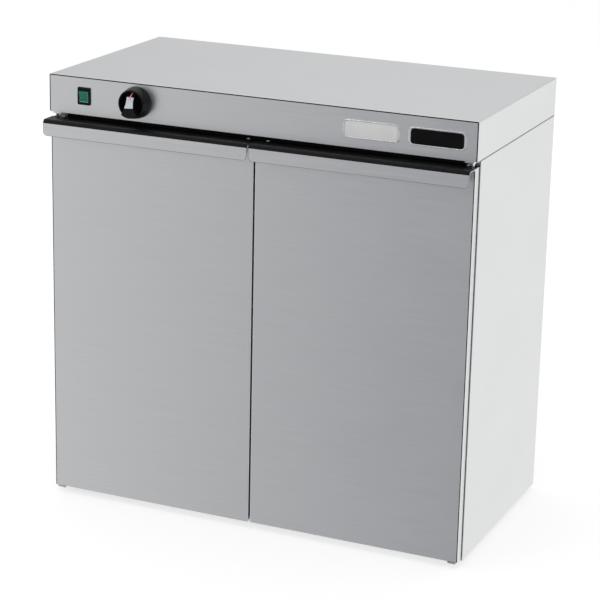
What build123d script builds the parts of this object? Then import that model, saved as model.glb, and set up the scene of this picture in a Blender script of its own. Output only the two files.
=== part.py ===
from build123d import *
import os
from math import cos, radians, sin, tan

# Two-door plate warmer cabinet, in millimetres. +Z is up, the doors face -Y, and the origin is on the
# floor, under the middle of the whole object's width and depth.

# ---- Case ----
case_width = 860.0
case_depth = 450.0  # face of the doors to the back panel's outer face
case_height = 850.0  # floor to worktop
foot_height = 10.0
top_box_height = 72.5
top_seam = 1.5  # shadow gap between the control box and the side panels
sheet = 1.0  # folded stainless sheet
bend_radius = 2.0  # outer bends of the folded sheets
side_wall = 25.0  # side panel's outer face to its inner edge
back_wall = 25.0
base_height = 40.0
rail_height = 42.5  # front rail over the doorway
rail_depth = 25.0
partition_width = 40.0
seat = 0.3  # clearance between a piece and the folded sheet that it drops into
running_fit = 0.05  # radial clearance of pins and shafts

# ---- Doors ----
door_thickness = 20.0
door_skin = 1.0
door_inset = 3.0  # outer edge, in from the case's side
door_gap = 3.5  # between the two doors
jamb_gap = 3.0  # behind the doors
door_lift = 4.0  # above the case's underside
door_headroom = 13.5  # skin's top edge, below the control box
liner_lip = 6.0
gasket_width = 7.0
gasket_lap = 3.0  # gasket's inner edge, out from the doorway
gasket_gap = 0.3

# ---- Door grips ----
grip_reach = 31.0  # forward of the door face
grip_drop = 27.5  # lip's lower edge, below the skin's top edge
grip_sheet = 1.2
grip_corner = 8.0
cap_thickness = 2.3
cap_nose_radius = 7.0
cap_ridge = 4.5  # rear end of the cap's raised part, behind the door's face
cap_step = 1.0
grip_screw_inset = 18.0
grip_screw_back = 16.0
grip_screw_radius = 1.6
grip_screw_head = 3.2
grip_screw_length = 8.0

# ---- Hinges ----
pivot_inset = 8.0  # in from the door's outer edge
pivot_back = 9.0  # behind the door face
pin_radius = 3.0
pin_engagement = 10.0
pin_collar_radius = 4.6
pin_collar_height = 2.2
bush_wall = 1.55
bush_length = 12.0
bush_collar_radius = 6.0
bush_collar_height = 0.7
hinge_plate = 3.0
hinge_plate_width = 20.0
hinge_plate_inset = 2.0  # from the door's outer edge
hinge_plate_setback = 1.0  # from the door's face
pin_clearance = 1.0  # radial, where a pin passes through a skin

# ---- Catches ----
catch_width = 40.0
catch_height = 12.0
catch_depth = 12.0
catch_proud = 1.5
catch_offset = 26.0  # from the middle of the case
strike_thickness = 1.2
strike_margin = 2.0

# ---- Chamber ----
shelf_count = 3
cover_height = 32.0
cover_slots_across = 5
cover_slots_deep = 8
cover_slot_length = 44.0
cover_slot_width = 6.0
ledge = 14.0
ledge_leg = 12.0
ledge_front = 16.0  # ledge's front end, behind the jamb
ledge_rear = 8.0
shelf_frame_radius = 3.0
shelf_wire_radius = 2.0
shelf_wire_pitch = 32.0
shelf_weld = 0.8  # how far a wire sinks into the frame where it is welded
shelf_play = 2.0  # each side
shelf_corner = 14.0
heater_radius = 4.25
heater_height = 16.0  # tube's centre, above the chamber floor
heater_legs = 4
heater_pitch = 82.0
heater_bend = 26.0
heater_front = 60.0  # first bends, behind the jamb
heater_rear = 50.0  # rear bends, ahead of the back liner
heater_tail = 12.0  # tube's ends, behind the back liner
bracket_width = 15.0
bracket_margin = 12.0

# ---- Controls ----
control_height = 36.5  # knob and switch centres, above the control box's underside
knob_inset = 187.0  # knob's centre, in from the case's left side
knob_gap = 1.0
knob_reach = 33.0
knob_radius = 30.25
knob_rim = 3.5  # straight part of the skirt
knob_crown_radius = 27.0
knob_crown = 23.5  # crown of the skirt, ahead of the panel
knob_crown_round = 0.8
knob_dish_radius = 24.0
knob_dish_floor = 9.0
knob_hub_radius = 7.0
knob_wall = 2.5
bar_radius = 24.8
scoop_radius = 43.0
scoop_offset = 50.0
scoop_rise = 7.7
bar_break = 6.0  # where the bar's face starts to lean back, below the centre
bar_brow = 14.0  # upper end of the leaning face, above the centre
bar_brow_reach = 26.0
bar_toe = 23.5  # foot of the bar's upper end, above the centre
bar_toe_reach = 12.0
pointer_width = 2.4
pointer_depth = 1.0
pointer_tip = 7.0
pointer_foot = 21.0
shaft_radius = 3.0
shaft_flat = 1.2
shaft_in_knob = 18.0
shaft_in_thermostat = 12.0
panel_hole_clearance = 1.0
thermostat_width = 44.0
thermostat_height = 34.0
thermostat_depth = 24.0
thermostat_plate = 1.5
thermostat_plate_width = 60.0
bulb_radius = 3.0
bulb_length = 90.0
bulb_drop = 8.0  # bulb's centre, below the chamber's ceiling
bulb_start = 66.0  # behind the jamb
bulb_clip_width = 8.0
capillary_radius = 1.0
capillary_bend = 8.0
capillary_rise_at = 34.0  # vertical stretch, behind the jamb

switch_inset = 75.2  # switch's centre, in from the case's left side
bezel_width = 27.5
bezel_height = 33.5
bezel_thickness = 2.2
bezel_corner = 2.5
rocker_width = 18.0
rocker_half_height = 10.4
rocker_face = 6.87  # pivot to the valley of the rocker's face
rocker_angle = 8.0  # each way from the middle
rocker_back = 6.0
rocker_play = 0.4
rocker_pivot_depth = 5.0  # behind the panel's face
trunnion_radius = 1.5
trunnion_length = 1.2
switch_wall = 2.4
switch_depth = 24.0
window_height = 24.2
window_depth = 14.0

# ---- Supply ----
gland_inset = 100.0  # cable's centre, in from the case's left side
gland_bore = 4.5
gland_barrel = 8.0
gland_hex = 12.0
gland_flange = 5.0
gland_dome = 12.0
gland_inside = 12.0
gland_nut = 5.0
block_width = 44.0
block_depth = 20.0
block_height = 18.0
block_ways = 3
block_setback = 70.0  # ahead of the back panel
block_bore = 2.0
loom_radius = 2.5
loom_bend = 14.0
vent_count = 6
vent_length = 40.0
vent_width = 4.0
vent_pitch = 14.0

# ---- Feet and screws ----
foot_radius = 18.0
foot_taper = 12.0
foot_inset_x = 60.0
foot_inset_y = 60.0
foot_recess_radius = 6.0
foot_recess_depth = 5.0
screw_radius = 2.0
screw_head = 4.0
screw_head_height = 2.0
screw_length = 10.0
back_screw_rows = 5
back_screw_inset = 13.0
tray_flange = 14.0

# ---- Places worked out from the sizes above ----
half_width = case_width / 2
front_reach = max(grip_reach, knob_reach)
back_reach = gland_flange + gland_dome
face_y = front_reach - (front_reach + case_depth + back_reach) / 2
back_y = face_y + case_depth
jamb_y = face_y + door_thickness + jamb_gap
case_z = foot_height
box_z = case_height - top_box_height
inner_x = half_width - side_wall
liner_x = inner_x - sheet
floor_z = case_z + base_height
floor_top = floor_z + sheet
ceiling_z = box_z - rail_height
panel_y = back_y - sheet  # inner face of the back panel
chamber_back = back_y - back_wall
chamber_y = chamber_back - sheet  # chamber side of the back liner
post_x = partition_width / 2
door_outer = half_width - door_inset
door_inner = door_gap / 2
door_bottom = case_z + door_lift
door_top = box_z - door_headroom
pivot_x = door_outer - pivot_inset
pivot_y = face_y + pivot_back
control_z = box_z + control_height
knob_x = knob_inset - half_width
switch_x = switch_inset - half_width
gland_x = gland_inset - half_width
column_mid = (post_x + liner_x) / 2
cover_top = floor_top + cover_height
shelf_pitch = (ceiling_z - cover_top) / (shelf_count + 1)
shelf_levels = [cover_top + shelf_pitch * (level + 1) for level in range(shelf_count)]
level_names = ["lower", "middle", "upper"]

os.makedirs("parts", exist_ok=True)


def slab(x_from, x_to, y_from, y_to, z_from, z_to, mode=Mode.ADD):
    """Add a straight-sided slab between six limits to the part being built."""
    with BuildSketch(Plane.XY.offset(z_from)) as plan:
        with Locations(((x_from + x_to) / 2, (y_from + y_to) / 2)):
            Rectangle(x_to - x_from, y_to - y_from)
    extrude(plan.sketch, amount=z_to - z_from, mode=mode)


def facing(x, y, z):
    """Plane on a front face: local X to the right, local Y up, normal towards the user."""
    return Plane(origin=(x, y, z), x_dir=(1, 0, 0), z_dir=(0, -1, 0))


def backing(x, y, z):
    """Plane on a rear face: local X to the left, local Y up, normal towards the wall."""
    return Plane(origin=(x, y, z), x_dir=(-1, 0, 0), z_dir=(0, 1, 0))


def section(x, y, z):
    """Plane of a side section: local X forwards, local Y up."""
    return Plane(origin=(x, y, z), x_dir=(0, -1, 0), z_dir=(-1, 0, 0))


def save(piece, name):
    """Label a finished piece and write it to its own file."""
    piece.part.label = name
    export_step(piece.part, f"parts/{name}.step")


def save_welded(pieces, name):
    """Write a welded piece whose sheets stay solids of their own."""
    welded = Compound([sheet_solid for piece in pieces for sheet_solid in piece.part.solids()])
    welded.label = name
    export_step(welded, f"parts/{name}.step")


def save_pair(piece, name):
    """Write a right-hand piece and its mirrored left-hand twin."""
    with BuildPart() as twin:
        mirror(piece.part, about=Plane.YZ)
    save(twin, f"left_{name}")
    save(piece, f"right_{name}")


# ---- Control box ----

vent_x = half_width - vent_length * 2
vent_z = box_z + top_box_height / 2
cover_screw_points = [(x, box_z + tray_flange * 0.6) for x in (-half_width * 0.9, 0, half_width * 0.9)]
body_width = rocker_width + 2 * rocker_play + 2 * switch_wall
body_height = window_height + 2 * rocker_play + 1.2 * switch_wall
tray_edge = sheet + seat

with BuildPart() as cover_shell:
    slab(-half_width, half_width, face_y, back_y, box_z, case_height)
    top_edges = cover_shell.edges().group_by(Axis.Z)[-1]
    corner_edges = cover_shell.edges().filter_by(Axis.Z)
    fillet(top_edges + corner_edges, radius=bend_radius)
    offset(amount=-sheet, openings=cover_shell.faces().sort_by(Axis.Z)[0])
    with BuildSketch(facing(knob_x, face_y, control_z)):
        Circle(shaft_radius + panel_hole_clearance)
    extrude(amount=-2 * sheet, mode=Mode.SUBTRACT)
    with BuildSketch(facing(switch_x, face_y, control_z)):
        Rectangle(body_width + 2 * running_fit, body_height + 2 * running_fit)
    extrude(amount=-2 * sheet, mode=Mode.SUBTRACT)
    with BuildSketch(backing(gland_x, back_y, control_z)):
        Circle(gland_barrel + running_fit)
    extrude(amount=-2 * sheet, mode=Mode.SUBTRACT)
    with BuildSketch(backing(vent_x, back_y, vent_z)):
        with GridLocations(0, vent_pitch, 1, vent_count // 2):
            SlotOverall(vent_length, vent_width)
        with Locations((vent_length * 2.5, 0)):
            with GridLocations(0, vent_pitch, 1, vent_count // 2):
                SlotOverall(vent_length, vent_width)
    extrude(amount=-2 * sheet, mode=Mode.SUBTRACT)
    for x, z in cover_screw_points:
        with BuildSketch(backing(x, back_y, z)) as hole:
            Circle(screw_radius + running_fit)
        extrude(hole.sketch, amount=-2 * sheet, mode=Mode.SUBTRACT)

# The cover is welded along its bends from a worktop, a front, a rear and two side sheets.
weld_z = case_height - bend_radius
weld_x = half_width - bend_radius
with BuildPart() as worktop_sheet:
    add(cover_shell.part)
    split(bisect_by=Plane.XY.offset(weld_z), keep=Keep.TOP)
with BuildPart() as cover_walls:
    add(cover_shell.part)
    split(bisect_by=Plane.XY.offset(weld_z), keep=Keep.BOTTOM)
    for x in (-weld_x, weld_x):
        split(bisect_by=Plane.YZ.offset(x), keep=Keep.BOTH)
save_welded([worktop_sheet, cover_walls], "top_cover")

tray_x = half_width - tray_edge
tray_front = face_y + tray_edge
tray_back = back_y - tray_edge
capillary_y = jamb_y + capillary_rise_at
with BuildPart() as control_tray:
    slab(-tray_x, tray_x, tray_front, tray_back, box_z, box_z + tray_flange)
    tray_ends = control_tray.faces().filter_by(Axis.X)
    offset(amount=-sheet, openings=[control_tray.faces().sort_by(Axis.Z)[-1], *tray_ends])
    with BuildSketch(Plane.XY.offset(box_z)):
        with Locations((knob_x, capillary_y)):
            Circle(capillary_radius + seat)
    extrude(amount=sheet, mode=Mode.SUBTRACT)
    for x, z in cover_screw_points:
        with BuildSketch(backing(x, back_y, z)) as hole:
            Circle(screw_radius + running_fit)
        extrude(hole.sketch, amount=-2 * tray_edge, mode=Mode.SUBTRACT)
    split(bisect_by=Plane.XY.offset(box_z + sheet), keep=Keep.BOTH)
save(control_tray, "control_tray")

# ---- Case ----

back_panel_x = half_width - bend_radius
screw_span = box_z - case_z - 2 * back_screw_inset
back_screw_points = [
    (side * (half_width - back_screw_inset), case_z + back_screw_inset + screw_span * row / (back_screw_rows - 1))
    for side in (-1, 1)
    for row in range(back_screw_rows)
]

with BuildPart() as side_panel:
    slab(inner_x, half_width, jamb_y, panel_y, case_z, box_z - top_seam)
    outer_face = side_panel.faces().sort_by(Axis.X)[-1]
    fillet(outer_face.edges(), radius=bend_radius)
    offset(amount=-sheet, openings=side_panel.faces().sort_by(Axis.X)[0])
    for x, z in back_screw_points:
        if x > 0:
            with BuildSketch(backing(x, back_y, z)) as hole:
                Circle(screw_radius + running_fit)
            extrude(hole.sketch, amount=-4 * sheet, mode=Mode.SUBTRACT)
save_pair(side_panel, "side_panel")

with BuildPart() as back_panel:
    slab(-back_panel_x, back_panel_x, panel_y, back_y, case_z, box_z)
    for x, z in back_screw_points:
        with BuildSketch(backing(x, back_y, z)) as hole:
            Circle(screw_radius + running_fit)
        extrude(hole.sketch, amount=-2 * sheet, mode=Mode.SUBTRACT)
save(back_panel, "back_panel")

foot_x = half_width - foot_inset_x
foot_y = [face_y + foot_inset_y, back_y - foot_inset_y]
foot_points = [(side * foot_x, y) for side in (-1, 1) for y in foot_y]

with BuildPart() as base_pan:
    slab(-inner_x, inner_x, jamb_y, panel_y, case_z, floor_z)
    offset(amount=-sheet, openings=base_pan.faces().sort_by(Axis.Z)[-1])
    with BuildSketch(Plane.XY.offset(case_z)):
        with Locations(*foot_points):
            Circle(screw_radius + running_fit)
    extrude(amount=sheet, mode=Mode.SUBTRACT)
save(base_pan, "base_pan")

with BuildPart() as chamber_floor:
    slab(-inner_x, inner_x, jamb_y, panel_y, floor_z, floor_top)
save(chamber_floor, "chamber_floor")

with BuildPart() as front_rail:
    slab(-inner_x, inner_x, jamb_y, jamb_y + rail_depth, ceiling_z, box_z)
    offset(amount=-sheet, openings=front_rail.faces().sort_by(Axis.Y)[-1])
    catch_z = (ceiling_z + gasket_width + gasket_lap + door_top) / 2
    with BuildSketch(facing(0, jamb_y, catch_z)):
        with Locations((-catch_offset, 0), (catch_offset, 0)):
            Rectangle(catch_width + 2 * running_fit, catch_height + 2 * running_fit)
    extrude(amount=-2 * sheet, mode=Mode.SUBTRACT)
save(front_rail, "front_rail")

with BuildPart() as roof_liner:
    slab(-inner_x, inner_x, jamb_y + rail_depth, panel_y, ceiling_z, ceiling_z + sheet)
    with BuildSketch(Plane.XY.offset(ceiling_z)):
        with Locations((knob_x, capillary_y)):
            Circle(capillary_radius + seat)
    extrude(amount=sheet, mode=Mode.SUBTRACT)
save(roof_liner, "roof_liner")

with BuildPart() as side_liners:
    slab(liner_x, inner_x, jamb_y, chamber_back, floor_top, ceiling_z)
    slab(-inner_x, -liner_x, jamb_y, chamber_back, floor_top, ceiling_z)
save(side_liners, "side_liners")

heater_z = floor_top + heater_height
first_leg = column_mid - heater_pitch * (heater_legs - 1) / 2
last_leg = column_mid + heater_pitch * (heater_legs - 1) / 2
tail_points = [(side * x, heater_z) for side in (-1, 1) for x in (first_leg, last_leg)]

with BuildPart() as back_liner:
    slab(-liner_x, liner_x, chamber_y, chamber_back, floor_top, ceiling_z)
    with BuildSketch(facing(0, chamber_y, 0)):
        with Locations(*tail_points):
            Circle(heater_radius + seat)
    extrude(amount=-sheet, mode=Mode.SUBTRACT)
save(back_liner, "back_liner")

with BuildPart() as centre_partition:
    with BuildSketch(Plane.XY.offset(floor_top)):
        with BuildLine():
            Polyline(
                (-post_x, chamber_y),
                (-post_x, jamb_y),
                (post_x, jamb_y),
                (post_x, chamber_y),
                (post_x - sheet, chamber_y),
                (post_x - sheet, jamb_y + sheet),
                (-post_x + sheet, jamb_y + sheet),
                (-post_x + sheet, chamber_y),
                close=True,
            )
        make_face()
    extrude(amount=ceiling_z - floor_top)
save(centre_partition, "centre_partition")

# Mineral wool: both sides, back, base and roof, each cut to the space between its sheets.
with BuildPart() as wall_insulation:
    wool_x = half_width - sheet
    wool_front = jamb_y + bend_radius
    wool_back = panel_y - bend_radius
    for low, high in ((inner_x, wool_x), (-wool_x, -inner_x)):
        slab(low, high, wool_front, wool_back, case_z + bend_radius, box_z - top_seam - bend_radius)
    slab(-inner_x + seat, inner_x - seat, chamber_back, panel_y, floor_top, ceiling_z)
    slab(-inner_x + bend_radius, inner_x - bend_radius, wool_front, wool_back, case_z + sheet, floor_z)
    slab(-inner_x + seat, inner_x - seat, jamb_y + rail_depth, panel_y, ceiling_z + sheet, box_z)
    with BuildSketch(facing(0, chamber_back, 0)) as tail_ways:
        with Locations(*tail_points):
            Circle(heater_radius + seat)
    extrude(tail_ways.sketch, amount=-(heater_tail + seat), mode=Mode.SUBTRACT)
    with BuildSketch(Plane.XY.offset(ceiling_z + sheet)) as capillary_way:
        with Locations((knob_x, capillary_y)):
            Circle(capillary_radius + seat)
    extrude(capillary_way.sketch, amount=rail_height, mode=Mode.SUBTRACT)
    with BuildSketch(backing(0, back_y, 0)) as back_screw_ways:
        with Locations(*back_screw_points):
            Circle(screw_radius + running_fit)
    extrude(back_screw_ways.sketch, amount=-screw_length, mode=Mode.SUBTRACT)
    with BuildSketch(Plane.XY.offset(case_z)) as foot_screw_ways:
        with Locations(*foot_points):
            Circle(screw_radius + running_fit)
    extrude(foot_screw_ways.sketch, amount=screw_length, mode=Mode.SUBTRACT)
save(wall_insulation, "wall_insulation")

# ---- Shelves ----

ledge_y = [jamb_y + ledge_front, chamber_y - ledge_rear]
with BuildPart() as shelf_runners:
    for level in shelf_levels:
        for wall_x, towards in ((liner_x, -1), (post_x, 1), (-liner_x, 1), (-post_x, -1)):
            with BuildSketch(facing(wall_x, ledge_y[0], level)) as angle:
                with BuildLine():
                    Polyline(
                        (0, 0),
                        (towards * ledge, 0),
                        (towards * ledge, -sheet),
                        (towards * sheet, -sheet),
                        (towards * sheet, -ledge_leg),
                        (0, -ledge_leg),
                        close=True,
                    )
                make_face()
            extrude(angle.sketch, amount=ledge_y[0] - ledge_y[1])
save(shelf_runners, "shelf_runners")

shelf_x = [post_x + shelf_play + shelf_frame_radius, liner_x - shelf_play - shelf_frame_radius]
shelf_y = [jamb_y + ledge_front + shelf_frame_radius, chamber_y - ledge_rear - shelf_frame_radius]
shelf_mid = ((shelf_x[0] + shelf_x[1]) / 2, (shelf_y[0] + shelf_y[1]) / 2)
wire_count = int((shelf_x[1] - shelf_x[0]) / shelf_wire_pitch)
wire_rise = shelf_frame_radius + shelf_wire_radius - shelf_weld
for level, level_name in zip(shelf_levels, level_names):
    with BuildPart() as wire_shelf:
        frame_plane = Plane.XY.offset(level + shelf_frame_radius)
        with BuildLine(frame_plane) as frame_path:
            FilletPolyline(
                (shelf_x[0], shelf_y[0]),
                (shelf_x[1], shelf_y[0]),
                (shelf_x[1], shelf_y[1]),
                (shelf_x[0], shelf_y[1]),
                radius=shelf_corner,
                close=True,
            )
        with BuildSketch(Plane(frame_path.wire() @ 0, z_dir=frame_path.wire() % 0)):
            Circle(shelf_frame_radius)
        sweep(path=frame_path.wire())
        with BuildSketch(facing(shelf_mid[0], shelf_y[0], level + shelf_frame_radius + wire_rise)):
            with GridLocations(shelf_wire_pitch, 0, wire_count, 1):
                Circle(shelf_wire_radius)
        extrude(amount=shelf_y[0] - shelf_y[1])
    save_pair(wire_shelf, f"{level_name}_shelf")

# ---- Heating ----

heater_y = [jamb_y + heater_front, chamber_y - heater_rear, chamber_back + heater_tail]
heater_points = []
for leg in range(heater_legs):
    leg_x = first_leg + heater_pitch * leg
    leg_ends = (heater_y[1], heater_y[0]) if leg % 2 == 0 else (heater_y[0], heater_y[1])
    heater_points += [(leg_x, y) for y in leg_ends]
heater_points[0] = (first_leg, heater_y[2])
heater_points[-1] = (last_leg, heater_y[2])
with BuildPart() as heater:
    with BuildLine(Plane.XY.offset(heater_z)) as heater_path:
        FilletPolyline(*heater_points, radius=heater_bend)
    with BuildSketch(Plane(heater_path.wire() @ 0, z_dir=heater_path.wire() % 0)):
        Circle(heater_radius)
    sweep(path=heater_path.wire())
save_pair(heater, "heater")

bracket_y = [heater_y[0] + heater_bend, heater_y[1] - heater_bend]
bracket_top = heater_height - heater_radius
with BuildPart() as heater_brackets:
    for side in (-1, 1):
        for y in bracket_y:
            with BuildSketch(section(side * column_mid, y, floor_top)) as channel:
                with BuildLine():
                    Polyline(
                        (-bracket_width / 2, 0),
                        (-bracket_width / 2, bracket_top),
                        (bracket_width / 2, bracket_top),
                        (bracket_width / 2, 0),
                        (bracket_width / 2 - sheet, 0),
                        (bracket_width / 2 - sheet, bracket_top - sheet),
                        (-bracket_width / 2 + sheet, bracket_top - sheet),
                        (-bracket_width / 2 + sheet, 0),
                        close=True,
                    )
                make_face()
            extrude(channel.sketch, amount=(last_leg - first_leg) / 2 + bracket_margin, both=True)
save(heater_brackets, "heater_brackets")

cover_x = [post_x + seat, liner_x - seat]
cover_y = [jamb_y + seat, chamber_y - seat]
with BuildPart() as heater_cover:
    slab(cover_x[0], cover_x[1], cover_y[0], cover_y[1], floor_top, cover_top)
    offset(amount=-sheet, openings=heater_cover.faces().sort_by(Axis.Z)[0])
    slot_pitch_x = (cover_x[1] - cover_x[0]) / (cover_slots_across + 0.5)
    slot_pitch_y = (cover_y[1] - cover_y[0]) / (cover_slots_deep + 1)
    with BuildSketch(Plane.XY.offset(cover_top)):
        with Locations((column_mid, (cover_y[0] + cover_y[1]) / 2)):
            with GridLocations(slot_pitch_x, slot_pitch_y, cover_slots_across, cover_slots_deep):
                Rectangle(cover_slot_length, cover_slot_width)
    extrude(amount=-sheet, mode=Mode.SUBTRACT)
    with BuildSketch(backing(0, cover_y[1], heater_z)):
        with Locations((-first_leg, 0), (-last_leg, 0)):
            Circle(heater_radius + seat)
        with Locations((-first_leg, -heater_height / 2), (-last_leg, -heater_height / 2)):
            Rectangle(2 * (heater_radius + seat), heater_height)
    extrude(amount=-2 * sheet, mode=Mode.SUBTRACT)
save_pair(heater_cover, "heater_cover")

# ---- Hinges and catches ----

plate_x = [door_outer - hinge_plate_inset - hinge_plate_width, door_outer - hinge_plate_inset]
plate_y = [face_y + hinge_plate_setback, jamb_y]
upper_plate_z = box_z - hinge_plate
lower_plate_z = case_z + hinge_plate
with BuildPart() as upper_hinge:
    slab(plate_x[0], plate_x[1], plate_y[0], plate_y[1], upper_plate_z, box_z)
    plate_corners = upper_hinge.edges().filter_by(Axis.Z).group_by(Axis.Y)[0]
    fillet(plate_corners, radius=hinge_plate)
    with BuildSketch(Plane.XY.offset(upper_plate_z)) as collar:
        with Locations((pivot_x, pivot_y)):
            Circle(pin_collar_radius)
    extrude(collar.sketch, amount=-pin_collar_height)
    with BuildSketch(Plane.XY.offset(upper_plate_z)) as pin:
        with Locations((pivot_x, pivot_y)):
            Circle(pin_radius)
    extrude(pin.sketch, amount=door_top - door_skin - pin_engagement - upper_plate_z)
    chamfer(upper_hinge.faces().sort_by(Axis.Z)[0].edges(), length=pin_radius / 5)
save_pair(upper_hinge, "upper_hinge")

with BuildPart() as lower_hinge:
    slab(plate_x[0], plate_x[1], plate_y[0], plate_y[1], case_z, lower_plate_z)
    plate_corners = lower_hinge.edges().filter_by(Axis.Z).group_by(Axis.Y)[0]
    fillet(plate_corners, radius=hinge_plate)
    with BuildSketch(Plane.XY.offset(lower_plate_z)) as pin:
        with Locations((pivot_x, pivot_y)):
            Circle(pin_radius)
    extrude(pin.sketch, amount=door_bottom + door_skin + pin_engagement - lower_plate_z)
    chamfer(lower_hinge.faces().sort_by(Axis.Z)[-1].edges(), length=pin_radius / 5)
save_pair(lower_hinge, "lower_hinge")

with BuildPart() as door_catches:
    for side in (-1, 1):
        slab(
            side * catch_offset - catch_width / 2,
            side * catch_offset + catch_width / 2,
            jamb_y - catch_proud,
            jamb_y - catch_proud + catch_depth,
            catch_z - catch_height / 2,
            catch_z + catch_height / 2,
        )
save(door_catches, "door_catches")

# ---- Doors: right-hand pieces, each written with its mirrored twin ----

door_mid = (door_inner + door_outer) / 2
door_width = door_outer - door_inner
door_back = face_y + door_thickness
bush_radius = pin_radius + running_fit + bush_wall
grip_screw_x = [door_inner + grip_screw_inset, door_outer - grip_screw_inset]
grip_screw_y = face_y + grip_screw_back
grip_screw_points = [(x, grip_screw_y) for x in grip_screw_x]
cap_bottom = door_top + grip_sheet
cap_top = cap_bottom + cap_thickness

with BuildPart() as door_skin_pan:
    slab(door_inner, door_outer, face_y, door_back, door_bottom, door_top)
    front_face = door_skin_pan.faces().sort_by(Axis.Y)[0]
    fillet(front_face.edges(), radius=door_skin * 1.5)
    offset(amount=-door_skin, openings=door_skin_pan.faces().sort_by(Axis.Y)[-1])
    with BuildSketch(Plane.XY.offset(door_top)) as top_holes:
        with Locations((pivot_x, pivot_y)):
            Circle(pin_radius + pin_clearance)
        with Locations(*grip_screw_points):
            Circle(grip_screw_radius + running_fit)
    extrude(top_holes.sketch, amount=-2 * door_skin, mode=Mode.SUBTRACT)
    with BuildSketch(Plane.XY.offset(door_bottom)) as bottom_hole:
        with Locations((pivot_x, pivot_y)):
            Circle(bush_radius + running_fit)
    extrude(bottom_hole.sketch, amount=2 * door_skin, mode=Mode.SUBTRACT)
save_pair(door_skin_pan, "door_skin")

liner_edge = door_skin + seat
liner_y = door_back - liner_lip
with BuildPart() as door_liner:
    slab(
        door_inner + liner_edge,
        door_outer - liner_edge,
        liner_y,
        door_back,
        door_bottom + liner_edge,
        door_top - liner_edge,
    )
    offset(amount=-door_skin, openings=door_liner.faces().sort_by(Axis.Y)[0])
    with BuildSketch(Plane.XY.offset(door_top)) as liner_holes:
        with Locations(*grip_screw_points):
            Circle(grip_screw_radius + running_fit)
    extrude(liner_holes.sketch, amount=-(liner_edge + 2 * door_skin), mode=Mode.SUBTRACT)
save_pair(door_liner, "door_liner")

wool_inset = bush_length + 2 * door_skin
with BuildPart() as door_insulation:
    slab(
        door_inner + liner_edge + 2 * door_skin,
        door_outer - liner_edge - 2 * door_skin,
        face_y + door_skin,
        door_back - door_skin,
        door_bottom + wool_inset,
        door_top - wool_inset,
    )
save_pair(door_insulation, "door_insulation")

gasket_x = [post_x - gasket_lap, liner_x + gasket_lap]
gasket_z = [floor_top - gasket_lap, ceiling_z + gasket_lap]
gasket_back = jamb_y - gasket_gap
with BuildPart() as door_gasket:
    with BuildSketch(backing(column_mid, door_back, (gasket_z[0] + gasket_z[1]) / 2)):
        opening_width = gasket_x[1] - gasket_x[0]
        opening_height = gasket_z[1] - gasket_z[0]
        RectangleRounded(opening_width + 2 * gasket_width, opening_height + 2 * gasket_width, gasket_width)
        Rectangle(opening_width, opening_height, mode=Mode.SUBTRACT)
    extrude(amount=gasket_back - door_back)
save_pair(door_gasket, "door_gasket")

# The grip is one folded sheet: a lip hanging in front of the door, set back behind the cap's lower edge,
# rolled over at the nose and lying on the door's top edge.
nose_z = cap_top - cap_nose_radius
nose_forward = grip_reach - cap_nose_radius
sheet_nose = cap_nose_radius - cap_thickness
lip_bottom = door_top - grip_drop
with BuildPart() as grip_strip:
    with BuildSketch(section(door_mid, face_y, 0)):
        with BuildLine():
            Line((-door_thickness, door_top), (-door_thickness, cap_bottom))
            Line((-door_thickness, cap_bottom), (nose_forward, cap_bottom))
            CenterArc((nose_forward, nose_z), sheet_nose, 0, 90)
            Polyline(
                (nose_forward + sheet_nose, nose_z),
                (grip_reach, nose_z),
                (grip_reach, lip_bottom),
                (grip_reach - grip_sheet, lip_bottom),
                (grip_reach - grip_sheet, nose_z - grip_sheet),
                (nose_forward + sheet_nose - grip_sheet, nose_z - grip_sheet),
                (nose_forward + sheet_nose - grip_sheet, nose_z),
            )
            CenterArc((nose_forward, nose_z), sheet_nose - grip_sheet, 0, 90)
            Line((nose_forward, door_top), (-door_thickness, door_top))
        make_face()
    extrude(amount=door_width / 2, both=True)
    lip_corners = grip_strip.edges().filter_by(Axis.Y).group_by(Axis.Z)[0]
    fillet(lip_corners, radius=grip_corner)
    with BuildSketch(Plane.XY.offset(door_top)) as strip_holes:
        with Locations((pivot_x, pivot_y)):
            Circle(pin_radius + pin_clearance)
        with Locations(*grip_screw_points):
            Circle(grip_screw_radius + running_fit)
    extrude(strip_holes.sketch, amount=grip_sheet, mode=Mode.SUBTRACT)
save_pair(grip_strip, "grip_strip")

step_z = cap_top - cap_step
with BuildPart() as grip_cap:
    with BuildSketch(section(door_mid, face_y, 0)):
        with BuildLine():
            Polyline(
                (-door_thickness, cap_bottom),
                (-door_thickness, step_z),
                (-cap_ridge, step_z),
                (-cap_ridge, cap_top),
                (nose_forward, cap_top),
            )
            CenterArc((nose_forward, nose_z), cap_nose_radius, 0, 90)
            Line((grip_reach, nose_z), (nose_forward + sheet_nose, nose_z))
            CenterArc((nose_forward, nose_z), sheet_nose, 0, 90)
            Line((nose_forward, cap_bottom), (-door_thickness, cap_bottom))
        make_face()
    extrude(amount=door_width / 2, both=True)
    with BuildSketch(Plane.XY.offset(cap_bottom)) as cap_holes:
        with Locations((pivot_x, pivot_y)):
            Circle(pin_collar_radius + pin_clearance)
        with Locations(*grip_screw_points):
            Circle(grip_screw_radius + running_fit)
    extrude(cap_holes.sketch, amount=cap_thickness, mode=Mode.SUBTRACT)
save_pair(grip_cap, "grip_cap")

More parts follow.
